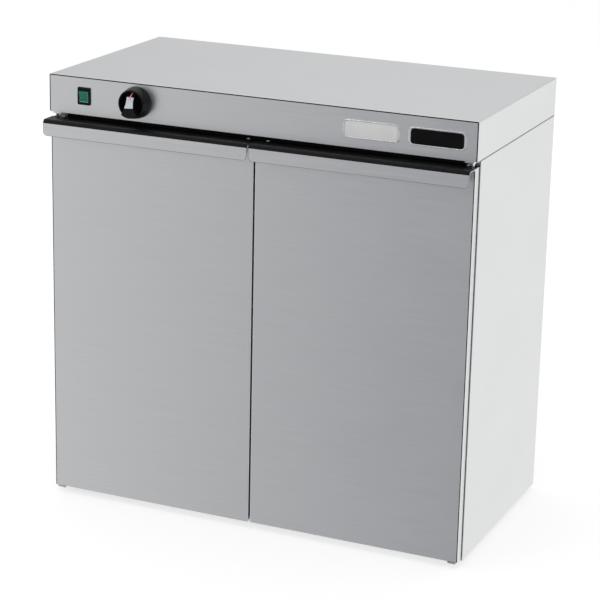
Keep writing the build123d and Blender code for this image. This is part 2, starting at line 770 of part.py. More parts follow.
with BuildPart() as grip_screws:
    with BuildSketch(Plane.XY.offset(step_z)) as heads:
        with Locations(*grip_screw_points):
            Circle(grip_screw_head)
    extrude(heads.sketch, amount=grip_screw_radius)
    fillet(grip_screws.edges().group_by(Axis.Z)[-1], radius=grip_screw_radius / 2)
    with BuildSketch(Plane.XY.offset(step_z)) as shanks:
        with Locations(*grip_screw_points):
            Circle(grip_screw_radius)
    extrude(shanks.sketch, amount=-grip_screw_length)
save_pair(grip_screws, "grip_screws")

bush_bore = pin_radius + running_fit
with BuildPart() as hinge_bushes:
    upper_bush_z = door_top - door_skin - bush_length
    with BuildSketch(Plane.XY.offset(upper_bush_z)) as upper_ring:
        with Locations((pivot_x, pivot_y)):
            Circle(bush_radius)
            Circle(bush_bore, mode=Mode.SUBTRACT)
    extrude(upper_ring.sketch, amount=bush_length)
    with BuildSketch(Plane.XY.offset(door_bottom)) as lower_ring:
        with Locations((pivot_x, pivot_y)):
            Circle(bush_radius)
            Circle(bush_bore, mode=Mode.SUBTRACT)
    extrude(lower_ring.sketch, amount=bush_length)
    with BuildSketch(Plane.XY.offset(door_bottom)) as collar_ring:
        with Locations((pivot_x, pivot_y)):
            Circle(bush_collar_radius)
            Circle(bush_bore, mode=Mode.SUBTRACT)
    extrude(collar_ring.sketch, amount=-bush_collar_height)
save_pair(hinge_bushes, "hinge_bushes")

with BuildPart() as strike_plate:
    slab(
        catch_offset - catch_width / 2 - strike_margin,
        catch_offset + catch_width / 2 + strike_margin,
        door_back,
        door_back + strike_thickness,
        catch_z - catch_height / 2,
        catch_z + catch_height / 2,
    )
save_pair(strike_plate, "strike_plate")

# ---- Thermostat and knob ----

bar_plan = facing(knob_x, face_y - knob_dish_floor, control_z)
knob_section = section(knob_x, face_y, control_z)
lean = (knob_reach - bar_brow_reach) / (bar_brow + bar_break)
pointer_line = [
    (bar_toe_reach + (bar_brow_reach - bar_toe_reach) * (bar_toe - pointer_foot) / (bar_toe - bar_brow), pointer_foot),
    (bar_brow_reach, bar_brow),
    (bar_brow_reach + lean * (bar_brow - pointer_tip), pointer_tip),
]

with BuildPart() as control_knob:
    with BuildSketch(bar_plan):
        Circle(bar_radius)
        with Locations((-scoop_offset, scoop_rise), (scoop_offset, scoop_rise)):
            Circle(scoop_radius, mode=Mode.SUBTRACT)
    extrude(amount=knob_reach - knob_dish_floor)
    with BuildSketch(knob_section) as bar_side:
        with BuildLine():
            Polyline(
                (knob_dish_floor, -bar_radius),
                (knob_reach, -bar_radius),
                (knob_reach, -bar_break),
                (bar_brow_reach, bar_brow),
                (bar_toe_reach, bar_toe),
                (knob_dish_floor, bar_toe),
                close=True,
            )
        make_face()
    extrude(bar_side.sketch, amount=bar_radius, both=True, mode=Mode.INTERSECT)
    with BuildSketch(knob_section) as skirt:
        with BuildLine():
            Polyline(
                (knob_gap, knob_radius),
                (knob_gap + knob_rim, knob_radius),
                (knob_crown - knob_crown_round, knob_crown_radius),
                (knob_crown, knob_crown_radius - knob_crown_round),
                (knob_crown, knob_dish_radius),
                (knob_dish_floor, knob_dish_radius - knob_wall / 2),
                (knob_dish_floor, 0),
                (knob_gap, 0),
                (knob_gap, knob_hub_radius),
                (knob_dish_floor - knob_wall, knob_hub_radius),
                (knob_dish_floor - knob_wall, knob_dish_radius - knob_wall),
                (knob_gap, knob_radius - knob_wall),
                close=True,
            )
        make_face()
    revolve(skirt.sketch, axis=Axis((knob_x, face_y, control_z), (0, -1, 0)))
    fillet(control_knob.edges().filter_by(GeomType.CIRCLE).group_by(SortBy.RADIUS)[-1], radius=0.6)
    with BuildSketch(facing(knob_x, face_y - knob_gap, control_z)) as shaft_bore:
        Circle(shaft_radius + running_fit)
    extrude(shaft_bore.sketch, amount=shaft_in_knob + seat, mode=Mode.SUBTRACT)
    with BuildSketch(knob_section) as pointer_groove:
        with BuildLine() as groove_line:
            Polyline(*pointer_line)
        trace(groove_line.line, line_width=pointer_depth)
    extrude(pointer_groove.sketch, amount=pointer_width / 2, both=True, mode=Mode.SUBTRACT)
save(control_knob, "control_knob")

with BuildPart() as knob_pointer:
    with BuildSketch(knob_section):
        with BuildLine() as mark_line:
            Polyline(*pointer_line)
        trace(mark_line.line, line_width=pointer_depth)
    extrude(amount=pointer_width / 2, both=True)
save(knob_pointer, "knob_pointer")

thermostat_y = face_y + sheet + thermostat_plate
shaft_front = face_y - knob_gap - shaft_in_knob
shaft_back = thermostat_y + shaft_in_thermostat
with BuildPart() as knob_shaft:
    with BuildSketch(facing(knob_x, shaft_back, control_z)):
        Circle(shaft_radius)
    extrude(amount=shaft_back - shaft_front)
    with BuildSketch(facing(knob_x, face_y - knob_gap, control_z)):
        with Locations((0, shaft_radius)):
            Rectangle(2 * shaft_radius, 2 * shaft_flat)
    extrude(amount=shaft_in_knob, mode=Mode.SUBTRACT)
save(knob_shaft, "knob_shaft")

with BuildPart() as thermostat:
    with BuildSketch(facing(knob_x, thermostat_y, control_z)):
        Rectangle(thermostat_plate_width, thermostat_height)
    extrude(amount=thermostat_plate)
    with BuildSketch(facing(knob_x, thermostat_y, control_z)) as case:
        Rectangle(thermostat_width, thermostat_height)
    extrude(case.sketch, amount=-thermostat_depth)
    with BuildSketch(facing(knob_x, thermostat_y - thermostat_plate, control_z)) as shaft_way:
        Circle(shaft_radius + running_fit)
    extrude(shaft_way.sketch, amount=-(thermostat_plate + shaft_in_thermostat + seat), mode=Mode.SUBTRACT)
save(thermostat, "thermostat")

bulb_z = ceiling_z - bulb_drop
bulb_y = jamb_y + bulb_start
with BuildPart() as capillary_bulb:
    with BuildSketch(backing(knob_x, bulb_y, bulb_z)) as bulb:
        Circle(bulb_radius)
    extrude(bulb.sketch, amount=bulb_length)
    with BuildLine() as capillary_path:
        FilletPolyline(
            (knob_x, bulb_y, bulb_z),
            (knob_x, capillary_y, bulb_z),
            (knob_x, capillary_y, control_z),
            (knob_x, thermostat_y + thermostat_depth, control_z),
            radius=capillary_bend,
        )
    with BuildSketch(Plane(capillary_path.wire() @ 0, z_dir=capillary_path.wire() % 0)) as tube:
        Circle(capillary_radius)
    sweep(tube.sketch, path=capillary_path.wire())
    for y in (bulb_y + bulb_length / 4, bulb_y + bulb_length * 3 / 4):
        with BuildSketch(backing(knob_x, y - bulb_clip_width / 2, bulb_z)) as clip:
            Rectangle(2 * bulb_radius + 2 * sheet, 2 * bulb_radius + 2 * sheet)
            with Locations((0, bulb_drop - sheet / 2)):
                Rectangle(8 * bulb_radius, sheet)
            with Locations((0, bulb_drop / 2)):
                Rectangle(2 * bulb_radius, bulb_drop)
            Circle(bulb_radius, mode=Mode.SUBTRACT)
        extrude(clip.sketch, amount=bulb_clip_width)
save(capillary_bulb, "capillary_bulb")

# ---- Rocker switch ----

tilt = radians(rocker_angle)
pivot_plane = Plane(
    origin=(switch_x, face_y + rocker_pivot_depth, control_z),
    x_dir=(0, -cos(tilt), -sin(tilt)),
    z_dir=(-1, 0, 0),
)
window_width = rocker_width + 2 * rocker_play
rocker_end = rocker_face + rocker_half_height * tan(tilt)
with BuildPart() as switch_frame:
    with BuildSketch(facing(switch_x, face_y, control_z)):
        RectangleRounded(bezel_width, bezel_height, bezel_corner)
    extrude(amount=bezel_thickness)
    fillet(switch_frame.faces().sort_by(Axis.Y)[0].edges(), radius=bezel_thickness / 3)
    with BuildSketch(facing(switch_x, face_y, control_z)) as body:
        Rectangle(body_width, body_height)
    extrude(body.sketch, amount=-switch_depth)
    with BuildSketch(facing(switch_x, face_y - bezel_thickness, control_z)) as window:
        Rectangle(window_width, window_height)
    extrude(window.sketch, amount=-(bezel_thickness + window_depth), mode=Mode.SUBTRACT)
    with BuildSketch(section(switch_x, face_y + rocker_pivot_depth, control_z)) as bearings:
        Circle(trunnion_radius + running_fit)
    bearing_reach = rocker_width / 2 + trunnion_length + seat
    extrude(bearings.sketch, amount=bearing_reach, both=True, mode=Mode.SUBTRACT)
save(switch_frame, "switch_frame")

with BuildPart() as switch_rocker:
    with BuildSketch(pivot_plane):
        with BuildLine():
            Polyline(
                (0, -rocker_half_height),
                (rocker_end, -rocker_half_height),
                (rocker_face, 0),
                (rocker_end, rocker_half_height),
                (0, rocker_half_height),
            )
            ThreePointArc((0, rocker_half_height), (-rocker_back, 0), (0, -rocker_half_height))
        make_face()
    extrude(amount=rocker_width / 2, both=True)
    with BuildSketch(section(switch_x, face_y + rocker_pivot_depth, control_z)) as trunnions:
        Circle(trunnion_radius)
    extrude(trunnions.sketch, amount=rocker_width / 2 + trunnion_length, both=True)
save(switch_rocker, "switch_rocker")

# ---- Supply ----

with BuildPart() as cable_gland:
    with BuildSketch(backing(gland_x, back_y, control_z)) as flange:
        RegularPolygon(gland_hex, 6)
    extrude(flange.sketch, amount=gland_flange)
    with BuildSketch(backing(gland_x, back_y + gland_flange, control_z)) as dome:
        Circle(gland_hex * 0.82)
    extrude(dome.sketch, amount=gland_dome)
    fillet(cable_gland.edges().group_by(Axis.Y)[-1], radius=gland_dome / 3)
    with BuildSketch(backing(gland_x, back_y, control_z)) as barrel:
        Circle(gland_barrel)
    extrude(barrel.sketch, amount=-(sheet + gland_inside))
    with BuildSketch(backing(gland_x, back_y - sheet, control_z)) as nut:
        RegularPolygon(gland_hex, 6)
        Circle(gland_barrel + running_fit, mode=Mode.SUBTRACT)
    extrude(nut.sketch, amount=-gland_nut)
    with BuildSketch(backing(gland_x, back_y + gland_flange + gland_dome, control_z)) as way:
        Circle(gland_bore)
    extrude(way.sketch, amount=-2 * (gland_flange + gland_dome + gland_inside), mode=Mode.SUBTRACT)
save(cable_gland, "cable_gland")

block_y = back_y - block_setback
tray_top = box_z + sheet
with BuildPart() as terminal_block:
    slab(
        gland_x - block_width / 2,
        gland_x + block_width / 2,
        block_y - block_depth / 2,
        block_y + block_depth / 2,
        tray_top,
        tray_top + block_height,
    )
    with BuildSketch(facing(gland_x, block_y - block_depth / 2, tray_top + block_height / 2)) as ways:
        with GridLocations(block_width / block_ways, 0, block_ways, 1):
            Circle(block_bore)
    extrude(ways.sketch, amount=-block_depth, mode=Mode.SUBTRACT)
save(terminal_block, "terminal_block")

loom_z = tray_top + block_height / 2
loom_start = block_y - block_depth / 2
loom_mid = (loom_start + face_y) / 2
switch_back = face_y + switch_depth
thermostat_back = thermostat_y + thermostat_depth
with BuildPart() as wiring_loom:
    for loom_x, target_x, target_y in (
        (gland_x - block_width / 4, switch_x, switch_back),
        (gland_x + block_width / 4, knob_x + thermostat_width / 4, thermostat_back),
    ):
        with BuildLine() as loom_path:
            FilletPolyline(
                (loom_x, loom_start, loom_z),
                (loom_x, loom_mid, loom_z),
                (target_x, loom_mid - 3 * loom_bend, control_z),
                (target_x, target_y, control_z),
                radius=loom_bend,
            )
        with BuildSketch(Plane(loom_path.wire() @ 0, z_dir=loom_path.wire() % 0)) as sleeve:
            Circle(loom_radius)
        sweep(sleeve.sketch, path=loom_path.wire())
save(wiring_loom, "wiring_loom")

# ---- Feet and screws ----

with BuildPart() as rubber_feet:
    with BuildSketch(Plane.XY.offset(foot_height)) as foot_tops:
        with Locations(*foot_points):
            Circle(foot_radius)
    extrude(foot_tops.sketch, amount=-foot_height, taper=foot_taper)
    with BuildSketch(Plane.XY) as recesses:
        with Locations(*foot_points):
            Circle(foot_recess_radius)
    extrude(recesses.sketch, amount=foot_recess_depth, mode=Mode.SUBTRACT)
    with BuildSketch(Plane.XY) as shank_ways:
        with Locations(*foot_points):
            Circle(screw_radius + running_fit)
    extrude(shank_ways.sketch, amount=foot_height, mode=Mode.SUBTRACT)
save(rubber_feet, "rubber_feet")

with BuildPart() as case_screws:
    for x, z in back_screw_points + cover_screw_points:
        with BuildSketch(backing(x, back_y, z)) as screw:
            Circle(screw_head)
        extrude(screw.sketch, amount=screw_head_height)
        with BuildSketch(backing(x, back_y, z)) as screw:
            Circle(screw_radius)
        extrude(screw.sketch, amount=-screw_length)
    with BuildSketch(Plane.XY.offset(foot_recess_depth)) as screw:
        with Locations(*foot_points):
            Circle(screw_head)
    extrude(screw.sketch, amount=-screw_head_height)
    with BuildSketch(Plane.XY.offset(foot_recess_depth)) as screw:
        with Locations(*foot_points):
            Circle(screw_radius)
    extrude(screw.sketch, amount=screw_length)
save(case_screws, "case_screws")
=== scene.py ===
import math

import bpy
import numpy as np
from bpy.props import FloatProperty, FloatVectorProperty, IntProperty, PointerProperty
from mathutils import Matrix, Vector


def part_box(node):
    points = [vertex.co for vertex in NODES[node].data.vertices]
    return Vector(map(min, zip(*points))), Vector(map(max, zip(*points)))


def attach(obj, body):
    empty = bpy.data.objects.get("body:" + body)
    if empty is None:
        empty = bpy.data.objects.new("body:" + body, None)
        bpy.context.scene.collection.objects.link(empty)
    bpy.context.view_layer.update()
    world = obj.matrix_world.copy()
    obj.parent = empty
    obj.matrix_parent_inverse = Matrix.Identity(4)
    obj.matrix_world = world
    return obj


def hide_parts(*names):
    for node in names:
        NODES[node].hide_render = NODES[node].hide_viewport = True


bl_info = {
    "name": "Plate Warmer Cabinet",
    "version": (1, 0, 0),
    "blender": (4, 5, 0),
    "location": "3D View > Sidebar > Plate Warmer",
    "description": "Finishes, badge plates, screws and studio for a two-door plate warmer",
    "category": "Object",
}

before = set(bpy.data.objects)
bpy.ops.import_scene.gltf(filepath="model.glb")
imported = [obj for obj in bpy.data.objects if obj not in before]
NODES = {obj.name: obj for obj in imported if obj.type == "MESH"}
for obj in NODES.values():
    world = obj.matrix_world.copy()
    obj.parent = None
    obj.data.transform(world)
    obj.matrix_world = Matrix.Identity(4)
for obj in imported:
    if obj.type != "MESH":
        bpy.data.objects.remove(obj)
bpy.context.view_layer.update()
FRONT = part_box("top_cover")[0].y  # plane of the door faces and the control strip
KNOB = (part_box("knob_pointer")[0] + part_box("knob_pointer")[1]) / 2
KNOB_AXIS = (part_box("control_knob")[0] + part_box("control_knob")[1]) / 2
SWITCH = (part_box("switch_frame")[0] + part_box("switch_frame")[1]) / 2
SHARP = math.radians(28)  # folds steeper than this stay crisp
BRUSH_STROKE = 150  # length of a brush line as a multiple of its width
# Painted highlight on the knob: the satin inlay on the bar's leaning face is painted pale where
# that face catches the light.
INLAY_LEAN = math.radians(19.3)  # the knob's bar leans back by this much
INLAY_HIGHLIGHT_MATCH = (0.990, 0.996)  # cosines between which a face counts as the leaning one
INLAY_HIGHLIGHT_HALF = 0.011  # the inlay ends this far from the knob's middle
# Painted highlight along the rocker's edges: where it sets in and is full, across and up.
LENS_ACROSS = (0.0080, 0.0092)  # the rocker's bright edge sets in and is full, across
LENS_UP = (0.0094, 0.0108)  # the same, up and down
# Painted highlight along the pointer: a pale core where the raised line catches the light.
HIGHLIGHT_CORE = (0.0003, 0.0008)  # the pointer's pale core ends between these distances from its middle
SIDEWAYS = 0.7  # a face looks sideways where its direction's part along X is more than this
WELDED = 0.00001  # corners nearer than this are one
STAND_OFF = 0.00002  # keeps a badge's back clear of the strip
HEAD_RISE = 0.5  # height of a screw's head as a share of its radius
SHANK = 0.5  # radius of a screw's shank as a share of the head's

WHITE = (1.0, 1.0, 1.0, 1.0)
FLOOR_LIT = (0.90, 0.90, 0.90, 1.0)  # the floor in the light that it gives back
FLOOR_SEEN = (0.40, 0.40, 0.40, 1.0)  # the floor that takes the shadow, to the camera
FLOOR_GLOW = 0.66  # white that is added to it, to the camera

# The room that metal shows, each from where a tone starts to change to where it has changed.
# Turns run from straight ahead to the right; heights and depths are the parts of a direction of
# length one that point up and to the back.
SHADE_RISE = (math.radians(-43), math.radians(-16))
SHADE_FALL = (math.radians(-8), math.radians(62))
BACK = (0.0, 0.5)
FAR_WALL = (0.80, 0.93)
FOOT = (-0.80, -0.55)
HORIZON = (-0.02, 0.02)
DARK_BAND = (0.20, 0.34)
CEILING = (0.40, 0.80)


# ---- Settings ----


def colour(name, description, default):
    return FloatVectorProperty(
        name=name,
        description=description,
        subtype="COLOR",
        size=3,
        min=0.0,
        max=1.0,
        default=default,
    )


def length(name, description, default, top=2.0):
    return FloatProperty(
        name=name,
        description=description,
        subtype="DISTANCE",
        unit="LENGTH",
        min=0.0,
        max=top,
        default=default,
    )


def ratio(name, description, default, low=0.0, top=1.0):
    return FloatProperty(
        name=name, description=description, subtype="FACTOR", min=low, max=top, default=default
    )


def power(name, description, default):
    return FloatProperty(name=name, description=description, unit="POWER", min=0.0, default=default)


def spot(name, description, default):
    return FloatVectorProperty(
        name=name, description=description, subtype="TRANSLATION", unit="LENGTH", default=default
    )


def turned(name, description, degrees):
    return FloatVectorProperty(
        name=name,
        description=description,
        subtype="EULER",
        unit="ROTATION",
        default=[math.radians(angle) for angle in degrees],
    )


class SheetFinish(bpy.types.PropertyGroup):
    steel: colour("Satin steel", "Outer sheet of the case and doors", (0.70, 0.705, 0.71))
    liner: colour("Liner steel", "Inner sheet of the chamber", (0.68, 0.68, 0.685))
    zinc: colour("Zinc coating", "Hidden sheet of the base, tray and back", (0.50, 0.52, 0.54))
    bright: colour("Bright steel", "Pins, strikes, shaft and shelf wires", (0.74, 0.74, 0.75))
    copper: colour("Copper", "Bulb and tube of the thermostat", (0.72, 0.42, 0.28))
    grain: length("Grain spacing", "Distance between brush lines", 0.0009, 0.02)
    roughness: ratio("Roughness", "Blur of the sheet's sheen", 0.34, 0.05)


class MouldedFinish(bpy.types.PropertyGroup):
    cap: colour("Grip cap", "Extruded cap along the door grips", (0.006, 0.006, 0.0066))
    knob: colour("Knob", "Moulded thermostat knob", (0.0045, 0.0045, 0.005))
    # Painted highlight: the knob's satin inlay is pale to show the light that its leaning face
    # catches.
    inlay_highlight: colour("Knob inlay", "Satin inlay on the knob's leaning face", (0.42, 0.44, 0.47))
    # Painted shade: the tone of the dark beads and the dark strip over the doors.
    seam: colour("Seam", "Beads in the seams, and the seal over the doors", (0.006, 0.006, 0.0065))
    bezel: colour("Bezel", "Moulded switch frame", (0.005, 0.005, 0.005))
    lens: colour("Lens", "Tinted rocker of the switch", (0.0, 0.11, 0.075))
    # Painted highlight: the light caught in the rocker's edges is painted into its colour.
    lens_edge_highlight: colour("Lens edge", "Light caught in the rocker's edges", (0.10, 0.50, 0.36))
    pointer: colour("Pointer", "Painted line of the knob", (0.42, 0.01, 0.03))
    # Painted highlight: the pale middle of the pointer's raised line, where it catches the light.
    pointer_highlight: colour("Pointer core", "Worn middle of the painted line", (0.90, 0.62, 0.66))
    rubber: colour("Rubber", "Feet and door seals", (0.030, 0.030, 0.031))
    nylon: colour("Nylon", "Hinge bushes and terminal block", (0.80, 0.80, 0.76))
    catch: colour("Catch", "Magnetic door catches", (0.05, 0.05, 0.05))
    sleeve: colour("Sleeve", "Varnished sleeve of the wires", (0.45, 0.09, 0.06))


class BadgeShape(bpy.types.PropertyGroup):
    height: length("Height", "Height of both badge plates", 0.0335, 0.2)
    corner: length("Corner", "Corner radius of both badge plates", 0.0088, 0.05)
    thickness: length("Thickness", "Thickness of both badge plates", 0.0013, 0.01)
    rim: length("Rim", "Width of the bright rim", 0.0022, 0.02)
    rim_metal: colour("Rim metal", "Bright rim of both badge plates", (0.80, 0.80, 0.81))
    middle: length("Middle", "Height of the plates' middle above the floor", 0.8118)
    pale_from: length("Pale plate from", "Left end of the pale plate", 0.174)
    pale_to: length("Pale plate to", "Right end of the pale plate", 0.283)
    dark_from: length("Dark plate from", "Left end of the dark plate", 0.300)
    dark_to: length("Dark plate to", "Right end of the dark plate", 0.408)
    pale: colour("Pale field", "Field of the pale plate", (0.62, 0.61, 0.615))
    dark: colour("Dark field", "Field of the dark plate", (0.004, 0.004, 0.0045))


class TrimShape(bpy.types.PropertyGroup):
    # Sizes of the dark beads and strip that paint the shade in the seams, the door edges and over
    # the doors.
    seam: length("Seam", "Radius of the bead round the control strip", 0.0011, 0.005)
    seam_edge: length("Seam edge", "Distance from a bead to the outside of the sheet", 0.0003, 0.02)
    seam_sunk: length("Seam depth", "Depth of the seam's middle behind the strip", 0.0006, 0.01)
    edge: length("Door edge", "Radius of the dark bead down a door's outer edge", 0.0009, 0.005)
    hem: length("Hem", "Radius of the cut edge around a grip's lip", 0.0006, 0.005)
    hem_corner: length("Hem corner", "Corner radius of a grip's lip", 0.008, 0.05)
    # Painted shade: the lips' cut edge is darker than the sheet, to show as the dark line under
    # each lip.
    hem_shaded_metal: colour("Hem metal", "Cut edge of the lips", (0.30, 0.305, 0.31))
    # Painted shade: a dark strip over the doors, in the recess under the control box.
    shade_strip_thickness: length("Seal", "Thickness of the seal over the doors", 0.0018, 0.01)
    shade_strip_gap: length("Seal gap", "Gap from the seal to the hinges and the catches", 0.0012, 0.01)


class ScrewShape(bpy.types.PropertyGroup):
    # Painted glint: the screws' zinc plating is made near white and mostly matt, so the heads show
    # as bright dots.
    zinc: colour("Zinc", "Bright plating of the screws", (0.95, 0.95, 0.96))
    dome: ratio("Dome", "Share of the head that is domed", 0.75, 0.1)
    slot: ratio("Slot", "Slot width as a share of the head's radius", 0.32, 0.1, 0.8)
    reach: ratio("Reach", "Slot length as a share of the head's radius", 0.62, 0.2, 0.95)
    sides: IntProperty(name="Sides", description="Facets around a head", min=24, max=96, default=40)


class StudioSetup(bpy.types.PropertyGroup):
    camera: spot("Camera", "Place of the camera", (1.6068, -3.6858, 1.6529))
    turn: turned("Turn", "Turn of the camera", (72.736, -1.223, 23.894))
    lens: FloatProperty(
        name="Lens",
        description="Focal length",
        subtype="DISTANCE_CAMERA",
        min=20.0,
        max=300.0,
        default=128.5,
    )
    floor: length("Floor", "Half width of the floor", 9.0, 50.0)
    key: power("Key light", "Power of the overhead soft box", 30.0)
    key_place: spot("Key place", "Place of the overhead soft box", (-0.5, 0.4, 3.2))
    key_size: length("Key size", "Side of the overhead soft box", 5.0, 20.0)
    glint: power("Front light", "Power of the small soft box in front", 9.0)
    glint_place: spot("Front light place", "Place of the small soft box", (-1.41, -2.86, 1.78))
    glint_turn: turned("Front light turn", "Turn of the small soft box", (72.5, 0.0, -24.0))
    glint_width: length("Front light width", "Width of the small soft box", 1.0, 5.0)
    glint_height: length("Front light height", "Height of the small soft box", 0.6, 5.0)
    fill: ratio("Fill light", "Strength of the surrounding light", 0.82, 0.0, 2.0)
    mirrored: ratio("Room", "Strength of the room in metal", 1.18, 0.0, 3.0)
    lit: colour("Lit sides", "Reflected tone of the room's sides", (1.0, 1.0, 1.0))
    shade: colour("Shaded front", "Reflected tone straight ahead", (0.21, 0.222, 0.245))
    dark: colour("Dark band", "Reflected tone low on the front wall", (0.20, 0.205, 0.215))
    ceiling: colour("Ceiling", "Reflected tone overhead", (0.74, 0.74, 0.74))
    behind: colour("Far sides", "Reflected tone of the far wall's sides", (0.52, 0.525, 0.53))
    beyond: colour("Far middle", "Reflected tone of the far wall's middle", (0.66, 0.662, 0.665))
    ground: colour("Back floor", "Reflected tone of the floor behind", (0.92, 0.92, 0.92))
    under: colour("Foot", "Reflected tone of the floor at the foot", (0.45, 0.45, 0.455))


# ---- Materials ----


class Graph:
    """A node tree being put together. Sockets take values or other nodes' outputs."""

    def __init__(self, tree):
        self.tree = tree
        self.tree.nodes.clear()

    def add(self, kind, sockets=None, **settings):
        node = self.tree.nodes.new(kind)
        for key, value in settings.items():
            setattr(node, key, value)
        for key, value in (sockets or {}).items():
            if isinstance(value, bpy.types.NodeSocket):
                self.tree.links.new(value, node.inputs[key])
            else:
                node.inputs[key].default_value = value
        return node

    def math(self, operation, *values):
        node = self.add("ShaderNodeMath", dict(enumerate(values)), operation=operation)
        return node.outputs[0]

    def noise(self, vector, scale=1.0, detail=3.0, roughness=0.55):
        sockets = {"Vector": vector, "Scale": scale, "Detail": detail, "Roughness": roughness}
        return self.add("ShaderNodeTexNoise", sockets).outputs[0]

    def spread(self, value, low, high, start=0.3, stop=0.7, soft=True):
        sockets = {
            "Value": value,
            "From Min": start,
            "From Max": stop,
            "To Min": low,
            "To Max": high,
        }
        kind = "SMOOTHSTEP" if soft else "LINEAR"
        return self.add("ShaderNodeMapRange", sockets, interpolation_type=kind).outputs[0]

    def mix(self, factor, first, second):
        node = self.add("ShaderNodeMix", {0: factor, 6: first, 7: second}, data_type="RGBA")
        return node.outputs[2]

    def lerp(self, factor, first, second):
        node = self.add("ShaderNodeMix", {0: factor, 2: first, 3: second}, data_type="FLOAT")
        return node.outputs[0]

    def shade(self, tone, value, low=0.96, high=1.03):
        """The tone, lighter or darker by a pattern."""
        pale = (*[min(1.0, c * high) for c in tone], 1.0)
        deep = (*[c * low for c in tone], 1.0)
        return self.mix(value, deep, pale)

    def bump(self, height, distance, strength=1.0, below=None):
        sockets = {"Height": height, "Distance": distance, "Strength": strength}
        if below is not None:
            sockets["Normal"] = below
        return self.add("ShaderNodeBump", sockets).outputs[0]

    def parts(self, vector):
        """A vector's parts along X, Y and Z."""
        return self.add("ShaderNodeSeparateXYZ", {0: vector}).outputs

    def mix_shaders(self, factor, first, second):
        return self.add("ShaderNodeMixShader", {0: factor, 1: first, 2: second}).outputs[0]

    def background(self, tone, strength):
        return self.add("ShaderNodeBackground", {"Color": tone, "Strength": strength}).outputs[0]


class Recipe(Graph):
    """A material whose patterns lie in the model's own place."""

    def __init__(self, name):
        self.material = bpy.data.materials.new(name)
        self.material.use_nodes = True
        super().__init__(self.material.node_tree)
        self.output = self.add("ShaderNodeOutputMaterial")
        coordinates = self.add("ShaderNodeTexCoord")
        self.place = coordinates.outputs["Object"]
        self.facing = coordinates.outputs["Normal"]

    def stretch(self, scale=(1.0, 1.0, 1.0), offset=(0.0, 0.0, 0.0)):
        sockets = {"Vector": self.place, "Scale": scale, "Location": offset}
        return self.add("ShaderNodeMapping", sockets).outputs[0]

    def away(self, axis, middle):
        """Distance from a middle along one axis of the model."""
        part = self.parts(self.place)[axis]
        return self.math("ABSOLUTE", self.math("SUBTRACT", part, middle))

    def finish(self, **sockets):
        """Ends in one Principled shader; socket names are written with underscores."""
        named = {
            key.replace("_", " ").title().replace("Ior", "IOR"): value
            for key, value in sockets.items()
        }
        shader = self.add("ShaderNodeBsdfPrincipled", named)
        self.tree.links.new(shader.outputs[0], self.output.inputs[0])
        return self.material


def opaque(tone):
    return (*tone, 1.0)


def brushed_sheet(name, tone, spacing, roughness):
    """Rolled and brushed sheet: long fine brush lines, faint smudges and a slight unevenness.

    The lines are noise stretched along the sheet: along X on faces that look to the front, rear
    or up, and along Y on faces that look sideways, chosen by the face's own direction.
    """
    r = Recipe(name)
    fine = 1.0 / spacing
    ahead = r.noise(r.stretch((fine / BRUSH_STROKE, fine, fine)), detail=4.0, roughness=0.65)
    aside = r.noise(r.stretch((fine, fine / BRUSH_STROKE, fine)), detail=4.0, roughness=0.65)
    sideways = r.math("GREATER_THAN", r.math("ABSOLUTE", r.parts(r.facing)[0]), SIDEWAYS)
    lines = r.lerp(sideways, ahead, aside)
    smudge = r.noise(r.stretch((1.6, 1.6, 2.3)), scale=3.0, detail=5.0, roughness=0.6)
    cloud = r.noise(r.stretch(offset=(3.0, 1.0, 2.0)), scale=2.2, detail=2.0)
    base = r.shade(tone, r.spread(lines, 0.0, 1.0, 0.25, 0.75), 0.95, 1.04)
    base = r.mix(r.spread(cloud, 0.0, 0.10), base, opaque([c * 0.93 for c in tone]))
    streaks = r.spread(lines, -0.05, 0.05, 0.25, 0.75)
    gloss = r.math("ADD", streaks, r.spread(smudge, roughness - 0.01, roughness + 0.02))
    sway = r.bump(r.noise(r.place, scale=4.5, detail=1.0), 0.000036)
    normal = r.bump(lines, spacing * 0.012, 0.5, sway)
    return r.finish(base_color=base, metallic=1.0, roughness=gloss, normal=normal)


def plain_metal(name, tone, roughness, pattern=60.0, depth=0.00001, metallic=1.0):
    """Drawn or turned metal, with a faint cloudy tone and a very fine tooth."""
    r = Recipe(name)
    cloud = r.noise(r.place, scale=pattern, detail=4.0)
    tooth = r.noise(r.place, scale=pattern * 25, detail=3.0)
    return r.finish(
        base_color=r.shade(tone, r.spread(cloud, 0.0, 1.0), 0.88, 1.06),
        metallic=metallic,
        roughness=r.spread(cloud, roughness - 0.05, roughness + 0.07),
        normal=r.bump(tooth, depth, 0.6),
    )


def zinc_sheet(name, tone):
    """Hot-dipped sheet: flat crystals some 10 mm across, each with its own tone and gloss."""
    r = Recipe(name)
    cells = r.add("ShaderNodeTexVoronoi", {"Vector": r.place, "Scale": 95.0, "Randomness": 1.0})
    level = r.add("ShaderNodeSeparateColor", {0: cells.outputs["Color"]}).outputs[0]
    dust = r.noise(r.place, scale=14.0, detail=6.0, roughness=0.6)
    base = r.shade(tone, level, 0.86, 1.10)
    base = r.mix(r.spread(dust, 0.0, 0.35, 0.4, 0.75), base, opaque([c * 0.8 for c in tone]))
    gloss = r.math("ADD", r.math("MULTIPLY", level, 0.12), r.spread(dust, 0.36, 0.48))
    facets = r.bump(level, 0.00003, 0.4)
    return r.finish(base_color=base, metallic=0.9, roughness=gloss, normal=facets)


